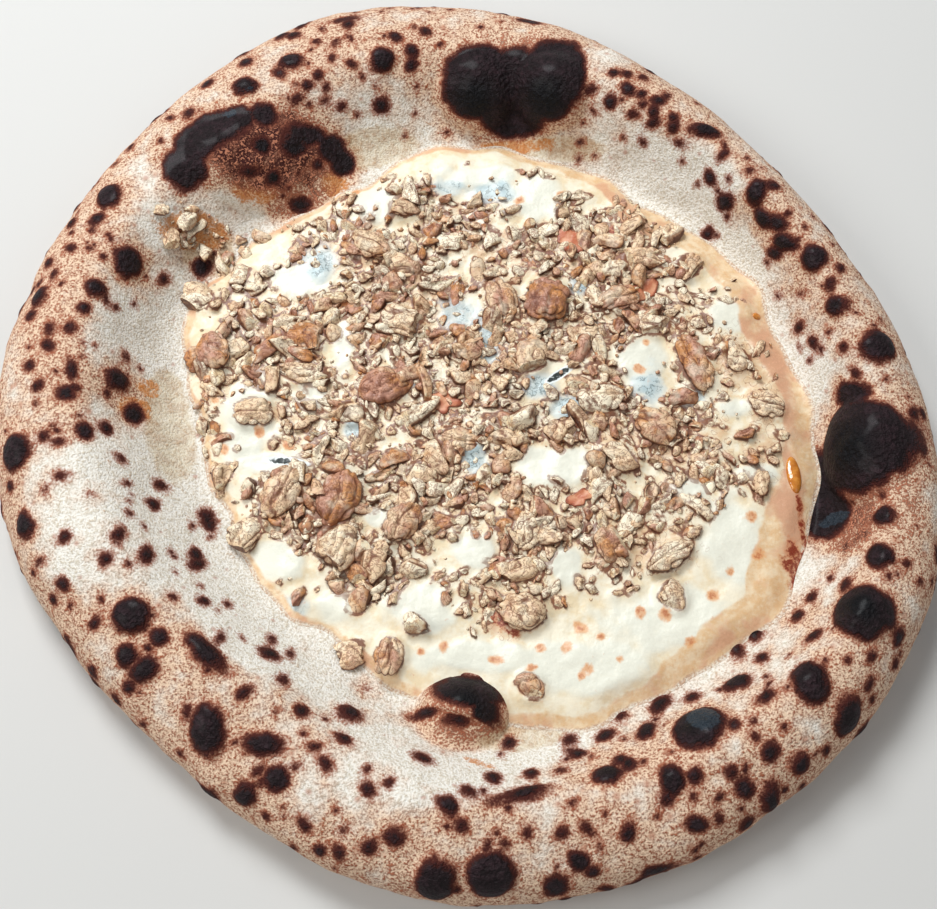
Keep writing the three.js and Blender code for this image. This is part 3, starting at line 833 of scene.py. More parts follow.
# islands and patches in the cheese: x, y, half length, half width
MILK = [
    (-31, 82, 8, 8), (8, 93, 15, 5), (26, 84, 11, 9), (-59, 50, 10, 6), (-75, -5, 9, 17), (-52, 5, 5, 6),
    (-42, 24, 4, 9), (96, 37, 9, 6), (64, 18, 8, 9), (32, -21, 12, 7), (96, 1, 5, 3), (79, -29, 6, 3),
    (101, -23, 8, 3), (-66, -19, 14, 4), (-62, -55, 9, 6), (-42, -70, 6, 5), (-14, -71, 11, 9),
    (6, -87, 25, 5), (-28, -39, 6, 3), (4, -52, 7, 6), (92, -48, 11, 16), (71, -74, 22, 11),
    (40, -90, 24, 9), (35, -56, 5, 7),
]
BLUE = [
    (11, 87, 13, 5), (-5, 89, 6, 4), (-53, 57, 7, 8), (-1, 37, 8, 6), (9, 26, 4, 8), (37, 1, 8, 5),
    (42, 48, 4, 3), (67, 9, 4, 7), (82, 4, 4, 3), (-18, 12, 4, 4), (-38, -7, 4, 3), (-60, -71, 8, 6),
    (4, -18, 4, 5), (63, 10, 5, 4), (28, 10, 6, 5),
]
MOULD = [(34, 13.5, 3.6, 0.9, 35), (-60.5, -19, 4.6, 0.9, -8)]
# stained patches of the cheese, whose darkest parts between crowded nuts are partly painted shade
STAINED_AND_SHADED = [
    (-64, 30, 14, 10), (-22, 44, 20, 14), (30, 60, 30, 10), (40, 66, 9, 9), (55, 45, 12, 8), (-5, 3, 9, 8),
    (48, -5, 14, 10), (74, -10, 18, 10), (62, -50, 20, 9), (14, -76, 8, 6), (96, 20, 8, 12),
    (-40, 60, 14, 8), (108, 4, 9, 34), (112, -34, 6, 20), (-6, 38, 7, 5), (49, -8, 8, 5), (-57, -32, 6, 5),
]
CRISP = [(112.5, -55, 4.5, 8, 5), (115.5, -38, 1.3, 11, 5), (13, -75, 7, 2.2, -40), (56, 71, 5, 2, 10)]
TOASTED = [
    (36.5, 85.8), (21, 83), (95, 26), (65, 26), (62, 16), (44, 24), (-82, -14), (-60, -12), (-51.5, -14),
    (11, -88), (-13.6, -85), (-6, -83), (-32, -64), (25.6, -84), (98, -39), (90, -58), (59, -72),
    (67.6, -73), (46, -80), (34.5, -84), (39, -93), (41.5, -91.5), (39, -77), (22.5, -91), (-8, 75),
    (-12, 67), (-11.5, 41), (-42, 41), (-39.5, 88), (84, -66), (52, -88), (75, -82), (100, -52), (-86, 4),
    (-70, -8),
]


def patches(x, y, places, soft):
    """1 well inside any of some ovals, 0 outside, with an uneven soft edge between."""
    plan = in_plan(x, y)
    wobble = 1 + 0.25 * lumps(plan, 7.0, 21) + 0.15 * lumps(plan, 3.0, 22)
    shares = [beside(x, y, (*place, 0)[:5]) for place in places]
    return ease((1 + soft - np.min(shares, axis=0) * wobble) / (2 * soft))


def next_to(x, y, place):
    """Distance from the middle of a topping as a share of its half sizes. Its place gives whole sizes."""
    across, up, long, wide, turn = place
    return beside(x, y, (across, up, long / 2, wide / 2, turn))


HEAP = (5, 11, 107, 88, 0)  # the oval that the nuts cover
KERNELS = HALVES + QUARTERS + CHUNKS


def nut_density(x, y):
    """How thickly the rubble lies, from 0 to 1."""
    plan = in_plan(x, y)
    out = beside(x, y, HEAP) + 0.07 * lumps(plan, 24.0, 31) + 0.04 * lumps(plan, 9.0, 32)
    crowd = 0.8 + 0.75 * lumps(plan, 12.0, 33) + 0.25 * ease((62 - np.hypot(x - 2, y - 12)) / 30)
    bare = np.maximum(patches(x, y, MILK, 0.35), 0.75 * patches(x, y, BLUE, 0.4))
    for share, places in ((0.95, KERNELS), (0.8, HAM)):
        for place in places:
            bare = np.maximum(bare, share * ease((1.05 - next_to(x, y, place)) / 0.25))
    for across, up, long, wide, turn in MOULD:
        bare = np.maximum(bare, ease(2.2 - beside(x, y, (across, up, long + 1.5, wide + 3, turn))))
    heap = ease((1.02 - out) / 0.14) * (1 - 0.97 * bare) * crowd
    return np.clip(np.maximum(heap, 0.4 * patches(x, y, SPILL, 0.4)), 0, 1)


# %% [markdown]
# ## Melted cheese
# Mozzarella and gorgonzola melt into one sheet that is thick and milky where no nut weighs on it, and thin
# and clear, almost only butterfat, where it has run up against the rim. It is a round grid again, whose edge
# wanders, and whose height follows the dough under it and swells up round each kernel. The milky, blue,
# stained, browned and painted-shade places are written on the points, and the shader breaks up their edges.

# %% Shape of the cheese
CHEESE_COLUMNS = 500
CHEESE_LIP = 0.7  # the thickness right behind the edge
CHEESE_BODY = 2.5  # what is added to it further in
CHEESE_BITE = 0.8  # how far the underside reaches into the dough, so that no gap shows
UNDER_ROWS = (0.05, 0.5, 0.9, 0.97)  # of the underside, as shares of the radius
EDGE_ROWS = (0, 0.15, 0.4, 0.8, 1.3, *range(2, 16))  # mm in from the edge
INNER_START, INNER_ROWS = 16, 118  # from that many mm in, so many evenly spaced rows to the middle


def skin_height(x, y):
    """Height of the finished dough, lumps included, over a point of the plan."""
    on_dough = np.stack([x, y, dough_top(x, y)], axis=-1)
    return on_dough[..., 2] + skin_lumps(on_dough) * clear_of_table(on_dough[..., 2])


def cheese_edge(angle):
    """Radius at which the melted cheese ends."""
    wander = 1.6 * np.sin(5 * angle + 0.6) + 1.3 * np.sin(11 * angle + 2.1) + 0.8 * np.sin(19 * angle)
    wander += 0.6 * np.sin(31 * angle + 1.0)
    return wavy(WELL, angle) + 1.0 + wander + 1.5 * np.cos(angle + 0.5)


def from_edge(x, y):
    """How far inside the cheese's edge a point of the plan is."""
    return cheese_edge(np.arctan2(y, x)) - np.hypot(x, y)


def cheese_top(x, y):
    """Height of the cheese's surface."""
    plan = in_plan(x, y)
    inward = from_edge(x, y)
    body = ease(inward / 10)
    lip = ease(inward / 3.5 + 0.12)
    relief = 0.5 * lumps(plan, 15.0, 41) + 0.38 * lumps(plan, 6.5, 42) + 0.14 * lumps(plan, 2.6, 43)
    relief += 0.8 * patches(x, y, MILK, 0.4)
    for place in KERNELS:
        relief = relief + 1.3 * np.exp(-((next_to(x, y, place) - 0.9) / 0.3) ** 2)
    return skin_height(x, y) + CHEESE_LIP * lip + (CHEESE_BODY + relief) * body


def cheese_grid():
    """The cheese in rows from the middle of its underside, round its edge, to the middle of its top."""
    angle = all_round(CHEESE_COLUMNS)
    edge = cheese_edge(angle)
    radii = [edge * share for share in UNDER_ROWS] + [edge - inward for inward in EDGE_ROWS]
    radii += [(edge - INNER_START) * share for share in np.linspace(1, 0.012, INNER_ROWS)]
    rows = []
    for number, radius in enumerate(radii):
        x, y = radius * np.cos(angle), radius * np.sin(angle)
        height = skin_height(x, y) - CHEESE_BITE if number < len(UNDER_ROWS) else cheese_top(x, y)
        if number == len(UNDER_ROWS):
            height = height - 0.4  # the edge itself dips into the dough
        rows.append(np.stack([x, y, height], axis=-1))
    return np.array(rows)


FAT_BAND = 3.5  # width of the clear fat along the edge
# where it is wider: how much, at how many degrees, and the cosine from which it sets in and how fast
FAT_SWELLS = [(8.0, 2, 0.35, 0.4), (1.5, -63, 0.55, 0.3), (5.0, -21, 0.965, 0.03)]


def cheese_numbers(grid, soak):
    """The milky, blue, stained, oily, browned and mouldy places on the cheese, and the painted shade by the
    nuts.
    """
    x, y = grid[..., 0], grid[..., 1]
    inward = from_edge(x, y)
    plan = in_plan(x, y)
    band = FAT_BAND
    for more, at, start, fade in FAT_SWELLS:
        band = band + more * ease((np.cos(np.arctan2(y, x) - math.radians(at)) - start) / fade)
    band += 1.5 * lumps(plan, 12.0, 51) + 0.8 * lumps(plan, 4.0, 52)
    oil = ease((band + 1.2 - inward) / 2.4)
    stain = np.maximum(0.5 * nut_density(x, y), 0.9 * patches(x, y, STAINED_AND_SHADED, 0.5))
    dots = []
    for index, (across, up) in enumerate(TOASTED):
        size = 1.6 + 0.9 * ((index * 7) % 5) / 4
        dots.append((across, up, size, size * 0.8, index * 40))
    toast_rough, crisp_rough = 0.3 * lumps(plan, 2.2, 53), 0.3 * lumps(plan, 2.2, 54)
    toast = [ease(1.5 - (beside(x, y, place) + toast_rough)) for place in dots]
    crisp = [ease((1.5 - beside(x, y, place) - crisp_rough) / 0.9) for place in CRISP]
    mould = [ease(1.6 - 0.6 * beside(x, y, place)) for place in MOULD]
    return {"milk": patches(x, y, MILK, 0.35), "blue": patches(x, y, BLUE, 0.6), "stain": stain, "oil": oil,
            "toast": np.max(toast, axis=0), "crisp": np.max(crisp, axis=0), "mould": np.max(mould, axis=0),
            "hem": ease((3.0 - inward) / 3.0), "soak": soak}


# %% [markdown]
# ## What melted cheese looks like
# Milky cheese is cream white. Where the nuts have leached it is stained tan and pink, and where they lie
# thickest and right against them it goes darker brown, which is partly painted shade. Blue mould leaves pale
# blue clouds with grey-green threads in them. The band along the rim is clear fat, tan and shining, and its
# outermost hem shows the dough's grain. Each of these is one or two coats of colour that follow a number on
# the points, with noise added so that no edge is smooth.

# %% Cheese finish
def cheese_finish():
    """Milky, blue-veined and oily melted cheese."""
    f = Finish("melted_cheese")
    milk, blue, stain, oil, hem = f.painted("milk", "blue", "stain", "oil", "hem")
    toast, crisp, mould, soak = f.painted("toast", "crisp", "mould", "soak")
    cloud = f.mottle(11.0, 3.0)
    patch = f.mottle(4.0, 3.0, 0.6)
    fleck = f.mottle(1.5, 3.0, 0.65)
    grain = f.mottle(0.75, 1.0, 0.7)

    cream = f.blend(f.ramp(cloud + patch, -0.5, 0.6), (245, 236, 212), (236, 217, 180))
    cream = f.blend(f.ramp(milk + patch * 0.3, 0.1, 1.0), cream, (237, 236, 220))
    tan = f.blend(f.ramp(patch + fleck * 0.7, -0.6, 0.6), (234, 206, 164), (214, 168, 124))
    tan = f.blend(f.ramp(cloud - patch * 0.5, 0.1, 0.6), tan, (204, 148, 118))
    # the milky islands also take less of the painted shade beside the nuts
    shy = 1 - milk * 0.55  # milky islands take less of a stain
    # brown rings round crumbs sunk in the stained cheese, partly painted contact shade
    bent = f.warped(2.5, 3.0)
    outline = f.ramp(abs(f.cells(3.3, "F1", bent) - 0.4), 0.05, 0.0)
    buried_crumb_shade = outline * f.ramp(stain + soak * 0.4 + cloud * 0.5, 0.3, 0.8) * shy
    colour = f.coats(
        cream,
        (stain + fleck * 0.3 + patch * 0.45 - milk * 0.6, 0.3, 1.0, 0.6, tan),
        (soak + patch * 0.45 + fleck * 0.2, 0.55, 1.2, shy * 0.6, (216, 166, 124)),
        # painted contact shadow: a thin dark line where the cheese meets a nut
        (soak + patch * 0.14 + fleck * 0.08, 0.80, 0.98, 0.9 - milk * 0.3, (116, 64, 42)),
        # partly painted shade: darkest mauve-brown where the nuts lie thickest and closest
        (stain + soak * 0.3 + fleck * 0.5 + patch * 0.4, 1.25, 1.6, 0.75, (126, 68, 54)))
    thread = f.ramp(abs(patch + fleck * 0.5), 0.13, 0.02) * f.ramp(blue + cloud * 0.7, 0.7, 1.1)
    colour = f.coats(
        f.blend(buried_crumb_shade * 0.65, colour, (150, 94, 60)),
        (blue + patch * 0.4 + cloud * 0.3, 0.15, 1.0, 0.75, (212, 224, 224)),
        (blue + cloud * 0.5 - patch * 0.4, 0.6, 1.3, 0.6, (166, 196, 206)))
    fat = f.coats(
        f.blend(f.ramp(fleck * 0.6 + patch, -0.6, 0.6), (240, 216, 180), (224, 186, 140)),
        (cloud - patch * 0.3, -0.1, 0.5, 1, (220, 172, 136)),
        (stain + patch * 0.3, 0.3, 1.0, 0.9, (212, 162, 130)))
    crust = f.blend(f.ramp(grain * 0.6 + fleck * 0.55, -0.5, 0.45), (238, 230, 214), (196, 162, 134))
    colour = f.coats(
        f.blend(thread * 0.7, colour, (74, 88, 88)),
        (oil + patch * 0.25 + cloud * 0.2, 0.2, 0.95, 1, fat),
        (hem + patch * 0.4 + fleck * 0.3, 0.25, 0.8, 1, crust),
        (toast + fleck * 0.35 + patch * 0.2, 0.15, 0.9, 0.85, (228, 166, 112)),
        (toast + fleck * 0.4 + patch * 0.3, 0.8, 1.2, 0.75, (184, 100, 60)),
        (crisp + fleck * 0.5 + patch * 0.5, 0.3, 1.0, 0.85, (204, 132, 92)),
        (crisp + fleck * 0.7 + patch * 0.5, 0.7, 1.15, 1, (138, 58, 38)),
        (mould + patch * 0.2, 0.35, 0.6, 1, (236, 242, 240)),
        (mould + fleck * 0.25, 0.82, 0.95, 1, (30, 40, 38)))

    roughness = 0.4 - oil * 0.14 + hem * 0.35 + fleck * 0.08
    height = fleck * 0.12 + patch * 0.2 + grain * hem * 0.3
    return f.finish(f.shade(colour, fleck * 0.05), roughness, f.bump(height, 0.5, 0.8))


print("cheese edge at the right:", round(float(cheese_edge(0.0)), 1), "mm from the middle")

# %% [markdown]
# ## A walnut kernel
# A kernel is folded like a brain: rounded lobes with thin dark creases between, and a groove along the
# middle of a half. The folds come from the noise above. Where it passes through zero there is a crease, and
# away from zero a lobe rises. Broken kernels are cut by flat planes, and a cut shows pale flesh without any
# skin. How steep the side is goes on the points too, because the finish paints shade, with some browning, on
# the low steep sides of a nut in cheese.

# %% Shape of a kernel
def ball(level):
    """Points of a unit ball and its triangles."""
    shell = bmesh.new()
    bmesh.ops.create_icosphere(shell, subdivisions=level, radius=1)
    points = np.array([vertex.co for vertex in shell.verts])
    faces = np.array([[vertex.index for vertex in face.verts] for face in shell.faces])
    shell.free()
    return points, faces


def outward(points, faces):
    """The direction in which the surface faces at each point."""
    corners = points[faces]
    face = np.cross(corners[:, 1] - corners[:, 0], corners[:, 2] - corners[:, 0])
    total = np.zeros_like(points)
    for corner in range(3):
        np.add.at(total, faces[:, corner], face)
    return total / np.maximum(np.linalg.norm(total, axis=1, keepdims=True), 1e-9)


def kernel(level, half, seed, cuts, groove, fold, hollow=0.0):
    """A walnut piece of given half sizes in millimetres, lying along x, and the numbers for its finish."""
    draw = np.random.default_rng(seed)
    sphere, faces = ball(level)
    half = np.array(half)
    points = sphere * half * (1 + 0.13 * lumps(sphere, 0.8, seed))[:, None]
    flesh = np.zeros(len(points))
    for number in range(cuts):
        turn, lean = draw.uniform(0, 2 * math.pi), draw.uniform(-0.2, 0.7)
        plane = np.array([math.cos(turn), math.sin(turn), lean])
        plane /= np.linalg.norm(plane)
        reach = (points @ plane).max() * draw.uniform(0.45, 0.75)
        beyond = points @ plane - reach
        cut = beyond > 0
        points[cut] -= beyond[cut, None] * plane
        flesh[cut] = 1.0 if number == 0 else 0.3
    middle = np.hypot(sphere[:, 0] - draw.uniform(-0.3, 0.3), sphere[:, 1] - draw.uniform(-0.3, 0.3))
    points[:, 2] -= hollow * half[2] * np.exp(-(middle / 0.5) ** 2) * (sphere[:, 2] > 0)
    bent = points + fold * 0.4 * np.stack([lumps(points, fold * 1.3, seed + k) for k in (1, 2, 3)], axis=-1)
    folds = lumps(bent * (0.75, 1.25, 0.9), fold, seed + 4)
    small = lumps(bent * (0.8, 1.1, 1), fold * 0.5, seed + 5)
    lobes = np.abs(folds) ** 0.6 - 0.5 + 0.15 * (np.abs(small) - 0.3)
    crease = np.exp(-(folds / 0.10) ** 2) + 0.2 * np.exp(-(small / 0.08) ** 2)
    if groove:
        middle = np.abs(points[:, 1] + 0.12 * half[1] * np.sin(points[:, 0] / half[0] * 3 + seed))
        valley = np.exp(-(middle / (0.10 * half[1])) ** 2) * (sphere[:, 2] > 0)
        valley *= ease(0.7 + lumps(points, 6.0, seed))
        lobes -= 0.6 * valley
        crease = np.maximum(crease, valley)
    keep = 1 - 0.75 * flesh
    points = points + outward(points, faces) * (0.46 * fold * lobes * keep)[:, None]
    low, high = points.min(axis=0), points.max(axis=0)
    points = (points - (low + high) / 2) * (2 * half / (high - low))
    steep = ease((0.8 - outward(points, faces)[:, 2]) / 0.65)
    return points, faces, {"crease": np.clip(crease, 0, 1) * keep, "flesh": flesh, "edge": steep}


# %% [markdown]
# ## What a walnut looks like
# The papery skin is pale tan to pinkish brown, with thin brown veins, and is darker in its creases and in
# the grooves between its lobes, which is painted shade. The low steep sides, where the cheese touches, are
# darkest: painted shade, with some browning. The cut flesh is cream, and here and there a film of cheese has
# run over a nut. Each kernel has a tint of its own, because no two in a bag are alike.

# %% Walnut finish
def walnut_finish():
    """Tan skin, creases and low sides darkened by painted shade, and cream flesh."""
    f = Finish("walnut_kernel")
    crease, flesh, edge, tint = f.painted("crease", "flesh", "edge", "tint")
    cloud = f.mottle(5.0, 2.0)
    warm = f.mottle(7.5, 2.0)
    fleck = f.mottle(1.3, 3.0, 0.7)
    bent = f.warped(3.2, 5.0)
    lobes = f.cells(4.0, "F1", bent)
    seams = f.cells(4.0, "DISTANCE_TO_EDGE", bent)

    shade = tint + cloud * 0.35 + fleck * 0.15
    mauve = f.blend(f.ramp(warm, -0.2, 0.35), (202, 150, 126), (206, 142, 86))
    meat = f.blend(f.ramp(fleck + cloud, -0.6, 0.7), (252, 240, 210), (236, 208, 164))
    colour = f.coats(
        f.blend(f.ramp(shade, 0.0, 0.45), (255, 242, 214), (241, 211, 173)),
        (shade, 0.4, 0.95, 1, mauve),
        (shade, 0.95, 1.4, 1, (118, 68, 58)),
        (flesh + fleck * 0.3, 0.4, 0.8, 1, meat))
    # painted shade: thin dark lines in the grooves between the lobes that the bump draws
    seam = f.ramp(seams + fleck * 0.06, 0.05, 0.0) * f.ramp(cloud + warm * 0.5, -0.1, 0.4)
    vein = f.ramp(abs(f.mottle(2.3, 2.0, 0.6, 0.8)), 0.14, 0.02)
    colour = f.blend(vein * 0.65, colour, (148, 88, 60))
    film = f.ramp(f.mottle(6.5, 2.0), 0.15, 0.6) * f.ramp(edge, 0.9, 0.3)
    colour = f.coats(
        f.blend(seam * 0.55, colour, (140, 84, 54)),
        # painted shade, with some browning: the low steep sides go brown and, lowest, nearly black
        (edge + fleck * 0.2, 0.25, 0.9, 0.8, (164, 104, 66)),
        (edge + fleck * 0.15, 0.72, 1.0, 0.85, (82, 42, 30)),
        # painted shade in the creases
        (crease + fleck * 0.2, 0.4, 0.95, 0.8, (118, 64, 38)))
    colour = f.blend(film * 0.4, colour, (252, 240, 214))
    roughness = 0.36 + fleck * 0.1
    height = fleck * 0.25 - lobes * 0.5 - vein * 0.35
    return f.finish(f.shade(colour, fleck * 0.08), roughness, f.bump(height, 0.6, 0.8))


WALNUT = walnut_finish()


def lay(points, x, y, turn, height):
    """Turns points about the upright and puts them down on the pizza."""
    cosine, sine = math.cos(math.radians(turn)), math.sin(math.radians(turn))
    turned = points @ np.array([[cosine, sine, 0], [-sine, cosine, 0], [0, 0, 1]])
    return turned + (x, y, height)


def resting_height(x, y):
    """Height on which a topping lies in the fixed model, which these kernels must match."""
    inward = float(wavy(WELL, math.atan2(y, x))) - GAP - math.hypot(x, y)
    if inward < 0:
        return float(dough_top(x, y))
    swell = 0.5 * math.sin(x / 17 + 1) * math.cos(y / 21 - 0.4) + 0.35 * math.sin((x + y) / 11)
    return FLOOR + 0.9 + (2.5 + swell) * float(ease(inward / 10))


# tints that the photo shows clearly, by name of the fixed node: 0 is pale, 1 pinkish brown, 1.3 very dark
TINTS = {
    "walnut_half_1": 1.0, "walnut_half_3": 0.95, "walnut_half_4": 0.85, "walnut_half_5": 1.1,
    "walnut_half_6": 0.9, "walnut_half_8": 0.7, "walnut_half_13": 0.85, "walnut_half_14": 0.3,
    "walnut_quarter_5": 0.2, "walnut_quarter_6": 0.8,
}
KERNEL_LEVEL = 5  # subdivisions of a kernel
FOLD = 3.3  # millimetres between its folds
GOLDEN = 0.618  # tints that step by this share don't bunch up
# kind, places, height as a share of the width, number of cuts, whether it has the groove of a half
KINDS = [("walnut_half", HALVES, 0.62, 0, True), ("walnut_quarter", QUARTERS, 0.66, 2, False),
         ("walnut_chunk", CHUNKS, 0.6, 3, False)]
WALNUT_PIECES = []
kernel_count = 0
for kind, places, tall, cuts, groove in KINDS:
    for number, (x, y, long, wide, turn) in enumerate(places, 1):
        name = f"{kind}_{number}"
        half = (long / 2, wide / 2, tall * wide / 2)
        seed = 900 + kernel_count * 13
        points, faces, numbers = kernel(KERNEL_LEVEL, half, seed, cuts, groove, FOLD)
        points = lay(points, x, y, turn, resting_height(x, y) + 0.5 * half[2])
        tint = TINTS.get(name, 0.15 + 0.6 * ((kernel_count * GOLDEN) % 1))
        numbers["tint"] = tint + 0.25 * lumps(points, 7.0, kernel_count)
        kernel_mesh = mesh_of(name, points, faces, numbers)
        WALNUT_PIECES.append(make_piece(f"{name}_kernel", kernel_mesh, WALNUT, "walnut", name))
        kernel_count += 1
print("kernels:", kernel_count)

# %% [markdown]
# ## Rubble and crumbs of walnut
# Breaking nuts by hand leaves pieces of every size down to dust. A few shapes of each size are modelled, and
# Geometry Nodes strews them: points are spread over the cheese by the density rule, no two too close, each
# gets one of the shapes, a turn, a size and a tint, and at the end the copies become one plain mesh.

# %% Strewing with Geometry Nodes
def strewing(name, shapes, material):
    """A node tree that strews the shapes over a bed, with its sizes as named inputs."""
    tree = bpy.data.node_groups.new(name, "GeometryNodeTree")
    face = tree.interface
    face.new_socket("Bed", in_out="INPUT", socket_type="NodeSocketGeometry")
    for label in ("Apart", "Density", "Smallest", "Largest", "Sink", "Pile"):
        face.new_socket(label, in_out="INPUT", socket_type="NodeSocketFloat")
    face.new_socket("Seed", in_out="INPUT", socket_type="NodeSocketInt")
    face.new_socket("Strewn", in_out="OUTPUT", socket_type="NodeSocketGeometry")
    g = Graph(tree)
    entry = tree.nodes.new("NodeGroupInput")
    given = {socket.name: Wire(g, socket) for socket in entry.outputs if socket.name}

    def chance(shift, low, high):
        limits = {2: low, 3: high, "Seed": given["Seed"] + shift}
        return g.node("FunctionNodeRandomValue", {"data_type": "FLOAT"}, limits, 1)

    crowd = g.node("GeometryNodeInputNamedAttribute", {"data_type": "FLOAT"}, {"Name": "nuts"})
    spread = {"Mesh": given["Bed"], "Distance Min": given["Apart"], "Density Max": given["Density"],
              "Density Factor": crowd, "Seed": given["Seed"]}
    points = g.node("GeometryNodeDistributePointsOnFaces", {"distribute_method": "POISSON"}, spread)
    size = chance(1, 0.0, 1.0)
    size = given["Smallest"] + (given["Largest"] - given["Smallest"]) * size * size
    rise = chance(2, 0.0, 1.0)
    lift = g.node("ShaderNodeCombineXYZ", {}, {"Z": given["Pile"] * rise * rise * rise - given["Sink"]})
    points = g.node("GeometryNodeSetPosition", {}, {"Geometry": points, "Offset": lift})
    angles = {"X": chance(3, -0.5, 0.5), "Y": chance(4, -0.5, 0.5), "Z": chance(5, 0.0, 2 * math.pi)}
    turn = g.node("FunctionNodeEulerToRotation", {}, {0: g.node("ShaderNodeCombineXYZ", {}, angles)})
    scales = {"X": size * chance(6, 0.85, 1.3), "Y": size, "Z": size * chance(7, 0.75, 1.1)}
    scale = g.node("ShaderNodeCombineXYZ", {}, scales)
    choice = {"Collection": shapes, "Separate Children": True, "Reset Children": True}
    copies = g.node("GeometryNodeInstanceOnPoints", {}, {
        "Points": points, "Instance": g.node("GeometryNodeCollectionInfo", {}, choice),
        "Pick Instance": True, "Rotation": turn, "Scale": scale})
    settings = {"data_type": "FLOAT", "domain": "INSTANCE"}
    copies = g.node("GeometryNodeStoreNamedAttribute", settings,
                    {"Geometry": copies, "Name": "tint", "Value": chance(8, -0.15, 0.95)})
    whole = g.node("GeometryNodeRealizeInstances", {}, {"Geometry": copies})
    whole = g.node("GeometryNodeSetMaterial", {}, {"Geometry": whole, "Material": material})
    g.node("NodeGroupOutput", {}, {"Strewn": whole})
    return tree


def strew(name, bed_mesh, shape_meshes, slot, node, **sizes):
    """Runs the strewing on a bed and keeps the result as one plain piece."""
    shapes = bpy.data.collections.new(name + "_shapes")
    for mesh in shape_meshes:
        shapes.objects.link(bpy.data.objects.new(mesh.name, mesh))
    bed = link(bpy.data.objects.new(name + "_bed", bed_mesh))
    tree = strewing(name, shapes, WALNUT)
    modifier = bed.modifiers.new("strewing", "NODES")
    modifier.node_group = tree
    identifiers = {item.name: item.identifier for item in tree.interface.items_tree if item.in_out == "INPUT"}
    for label, value in sizes.items():
        modifier[identifiers[label]] = value
    evaluated = bed.evaluated_get(bpy.context.evaluated_depsgraph_get())
    mesh = bpy.data.meshes.new_from_object(evaluated)
    mesh.name = name
    bed.modifiers.clear()
    for thing in [bed, *shapes.objects]:
        bpy.data.objects.remove(thing)
    bpy.data.collections.remove(shapes)
    piece = make_piece(name, mesh, WALNUT, slot, node)
    print(f"{name}: {triangles(mesh)} triangles")
    return piece


def shape_set(name, count, level, radius, cuts, fold):
    """Some different walnut bits of about one size."""
    meshes = []
    for number in range(count):
        draw = np.random.default_rng(5000 + number)
        half = radius * np.array([draw.uniform(1.0, 1.6), draw.uniform(0.7, 1.0), draw.uniform(0.6, 0.85)])
        built = kernel(level, half, 4000 + 31 * number, cuts, False, fold, 0.9 * (number % 3 == 0))
        meshes.append(mesh_of(f"{name}_{number}", *built))
    return meshes


# the bed: half its size, the size of its cells, and how far it goes past the edge of the cheese, all in mm
BED_HALF, BED_CELL, BED_PAST = 120, 2.5, 24


def strewing_bed():
    """The top of the cheese, with the density of the rubble on it."""
    steps = np.arange(-BED_HALF, BED_HALF + 1, BED_CELL)
    x, y = np.meshgrid(steps, steps)
    points = np.stack([x, y, cheese_top(x, y)], axis=-1)
    count = len(steps)
    first = np.arange(count * count).reshape(count, count)
    first = first[:-1, :-1][from_edge(x, y)[:-1, :-1] > -BED_PAST]
    faces = np.stack([first, first + 1, first + count + 1, first + count], axis=-1)
    return mesh_of("bed", points.reshape(-1, 3), faces, {"nuts": nut_density(x, y)})


bed_mesh = strewing_bed()
# the set of shapes of each size: how many, subdivisions, radius, cuts and millimetres between the folds
WALNUT_PIECES += [
    strew("walnut_rubble", bed_mesh, shape_set("rubble", 16, 3, 2.5, 3, 2.4), "walnut", "cheese",
          Apart=4.4 * MM, Density=90000.0, Smallest=0.75, Largest=1.9, Sink=0.1 * MM, Pile=1.8 * MM, Seed=11),
    strew("walnut_bits", bed_mesh, shape_set("bit", 12, 2, 1.5, 2, 2.0), "walnut", "cheese",
          Apart=2.8 * MM, Density=200000.0, Smallest=0.7, Largest=1.6, Sink=0.1 * MM, Pile=1.5 * MM, Seed=12),
    strew("walnut_crumbs", bed_mesh, shape_set("crumb", 6, 1, 0.8, 1, 1.6), "walnut", "cheese",
          Apart=3.0 * MM, Density=250000.0, Smallest=0.6, Largest=1.4, Sink=0.0 * MM, Pile=1.5 * MM, Seed=13),
]

# %% [markdown]
# ## Cheese that hugs the nuts
# Cheese creeps up the side of whatever lies in it, and the nuts leach brown oil into it. So the cheese is
# made after the nuts. Every point of its surface looks for the nearest nut in plan, the finest crumbs left
# out: close by it is lifted a little and stained, and right against the nut a thin dark line of painted
# contact shadow is laid.

# %% Making the cheese
def plan_of(pieces):
    """Where the points of some pieces lie in plan, to the nearest half millimetre."""
    found = []
    for piece in pieces:
        flat = np.empty(len(piece.data.vertices) * 3, dtype=np.float32)
        piece.data.vertices.foreach_get("co", flat)
        found.append(np.round(flat.reshape(-1, 3)[:, :2] / MM * 2) / 2)
    return np.unique(np.concatenate(found), axis=0)


def nearest(grid, spots):
    """Distance in plan from each point of a grid to the nearest of some spots."""
    tree = kdtree.KDTree(len(spots))
    for number, (x, y) in enumerate(spots):
        tree.insert((x, y, 0), number)
    tree.balance()
    gaps = [tree.find((x, y, 0))[2] for x, y in grid[..., :2].reshape(-1, 2)]
    return np.array(gaps).reshape(grid.shape[:2])


# this reach also bounds the painted contact shadow against each nut
SOAK_REACH = 2.1  # how far from a nut the cheese is stained
CREEP = 0.4  # how far the cheese climbs a nut

cheese = cheese_grid()
gap = nearest(cheese, plan_of(WALNUT_PIECES[:-1]))
soak = ease((SOAK_REACH - gap) / SOAK_REACH)
topside = (np.arange(len(cheese)) > len(UNDER_ROWS) + 1)[:, None]
topside = topside * ease(from_edge(cheese[..., 0], cheese[..., 1]) / 4)
cheese[..., 2] += CREEP * soak * topside
cheese_mesh = mesh_of("melted_cheese", *closed_grid(cheese, cheese_numbers(cheese, soak)))
make_piece("melted_cheese", cheese_mesh, cheese_finish(), "cheese", "cheese")
print("melted cheese:", triangles(cheese_mesh), "triangles, soaked share", round(float(soak.mean()), 2))

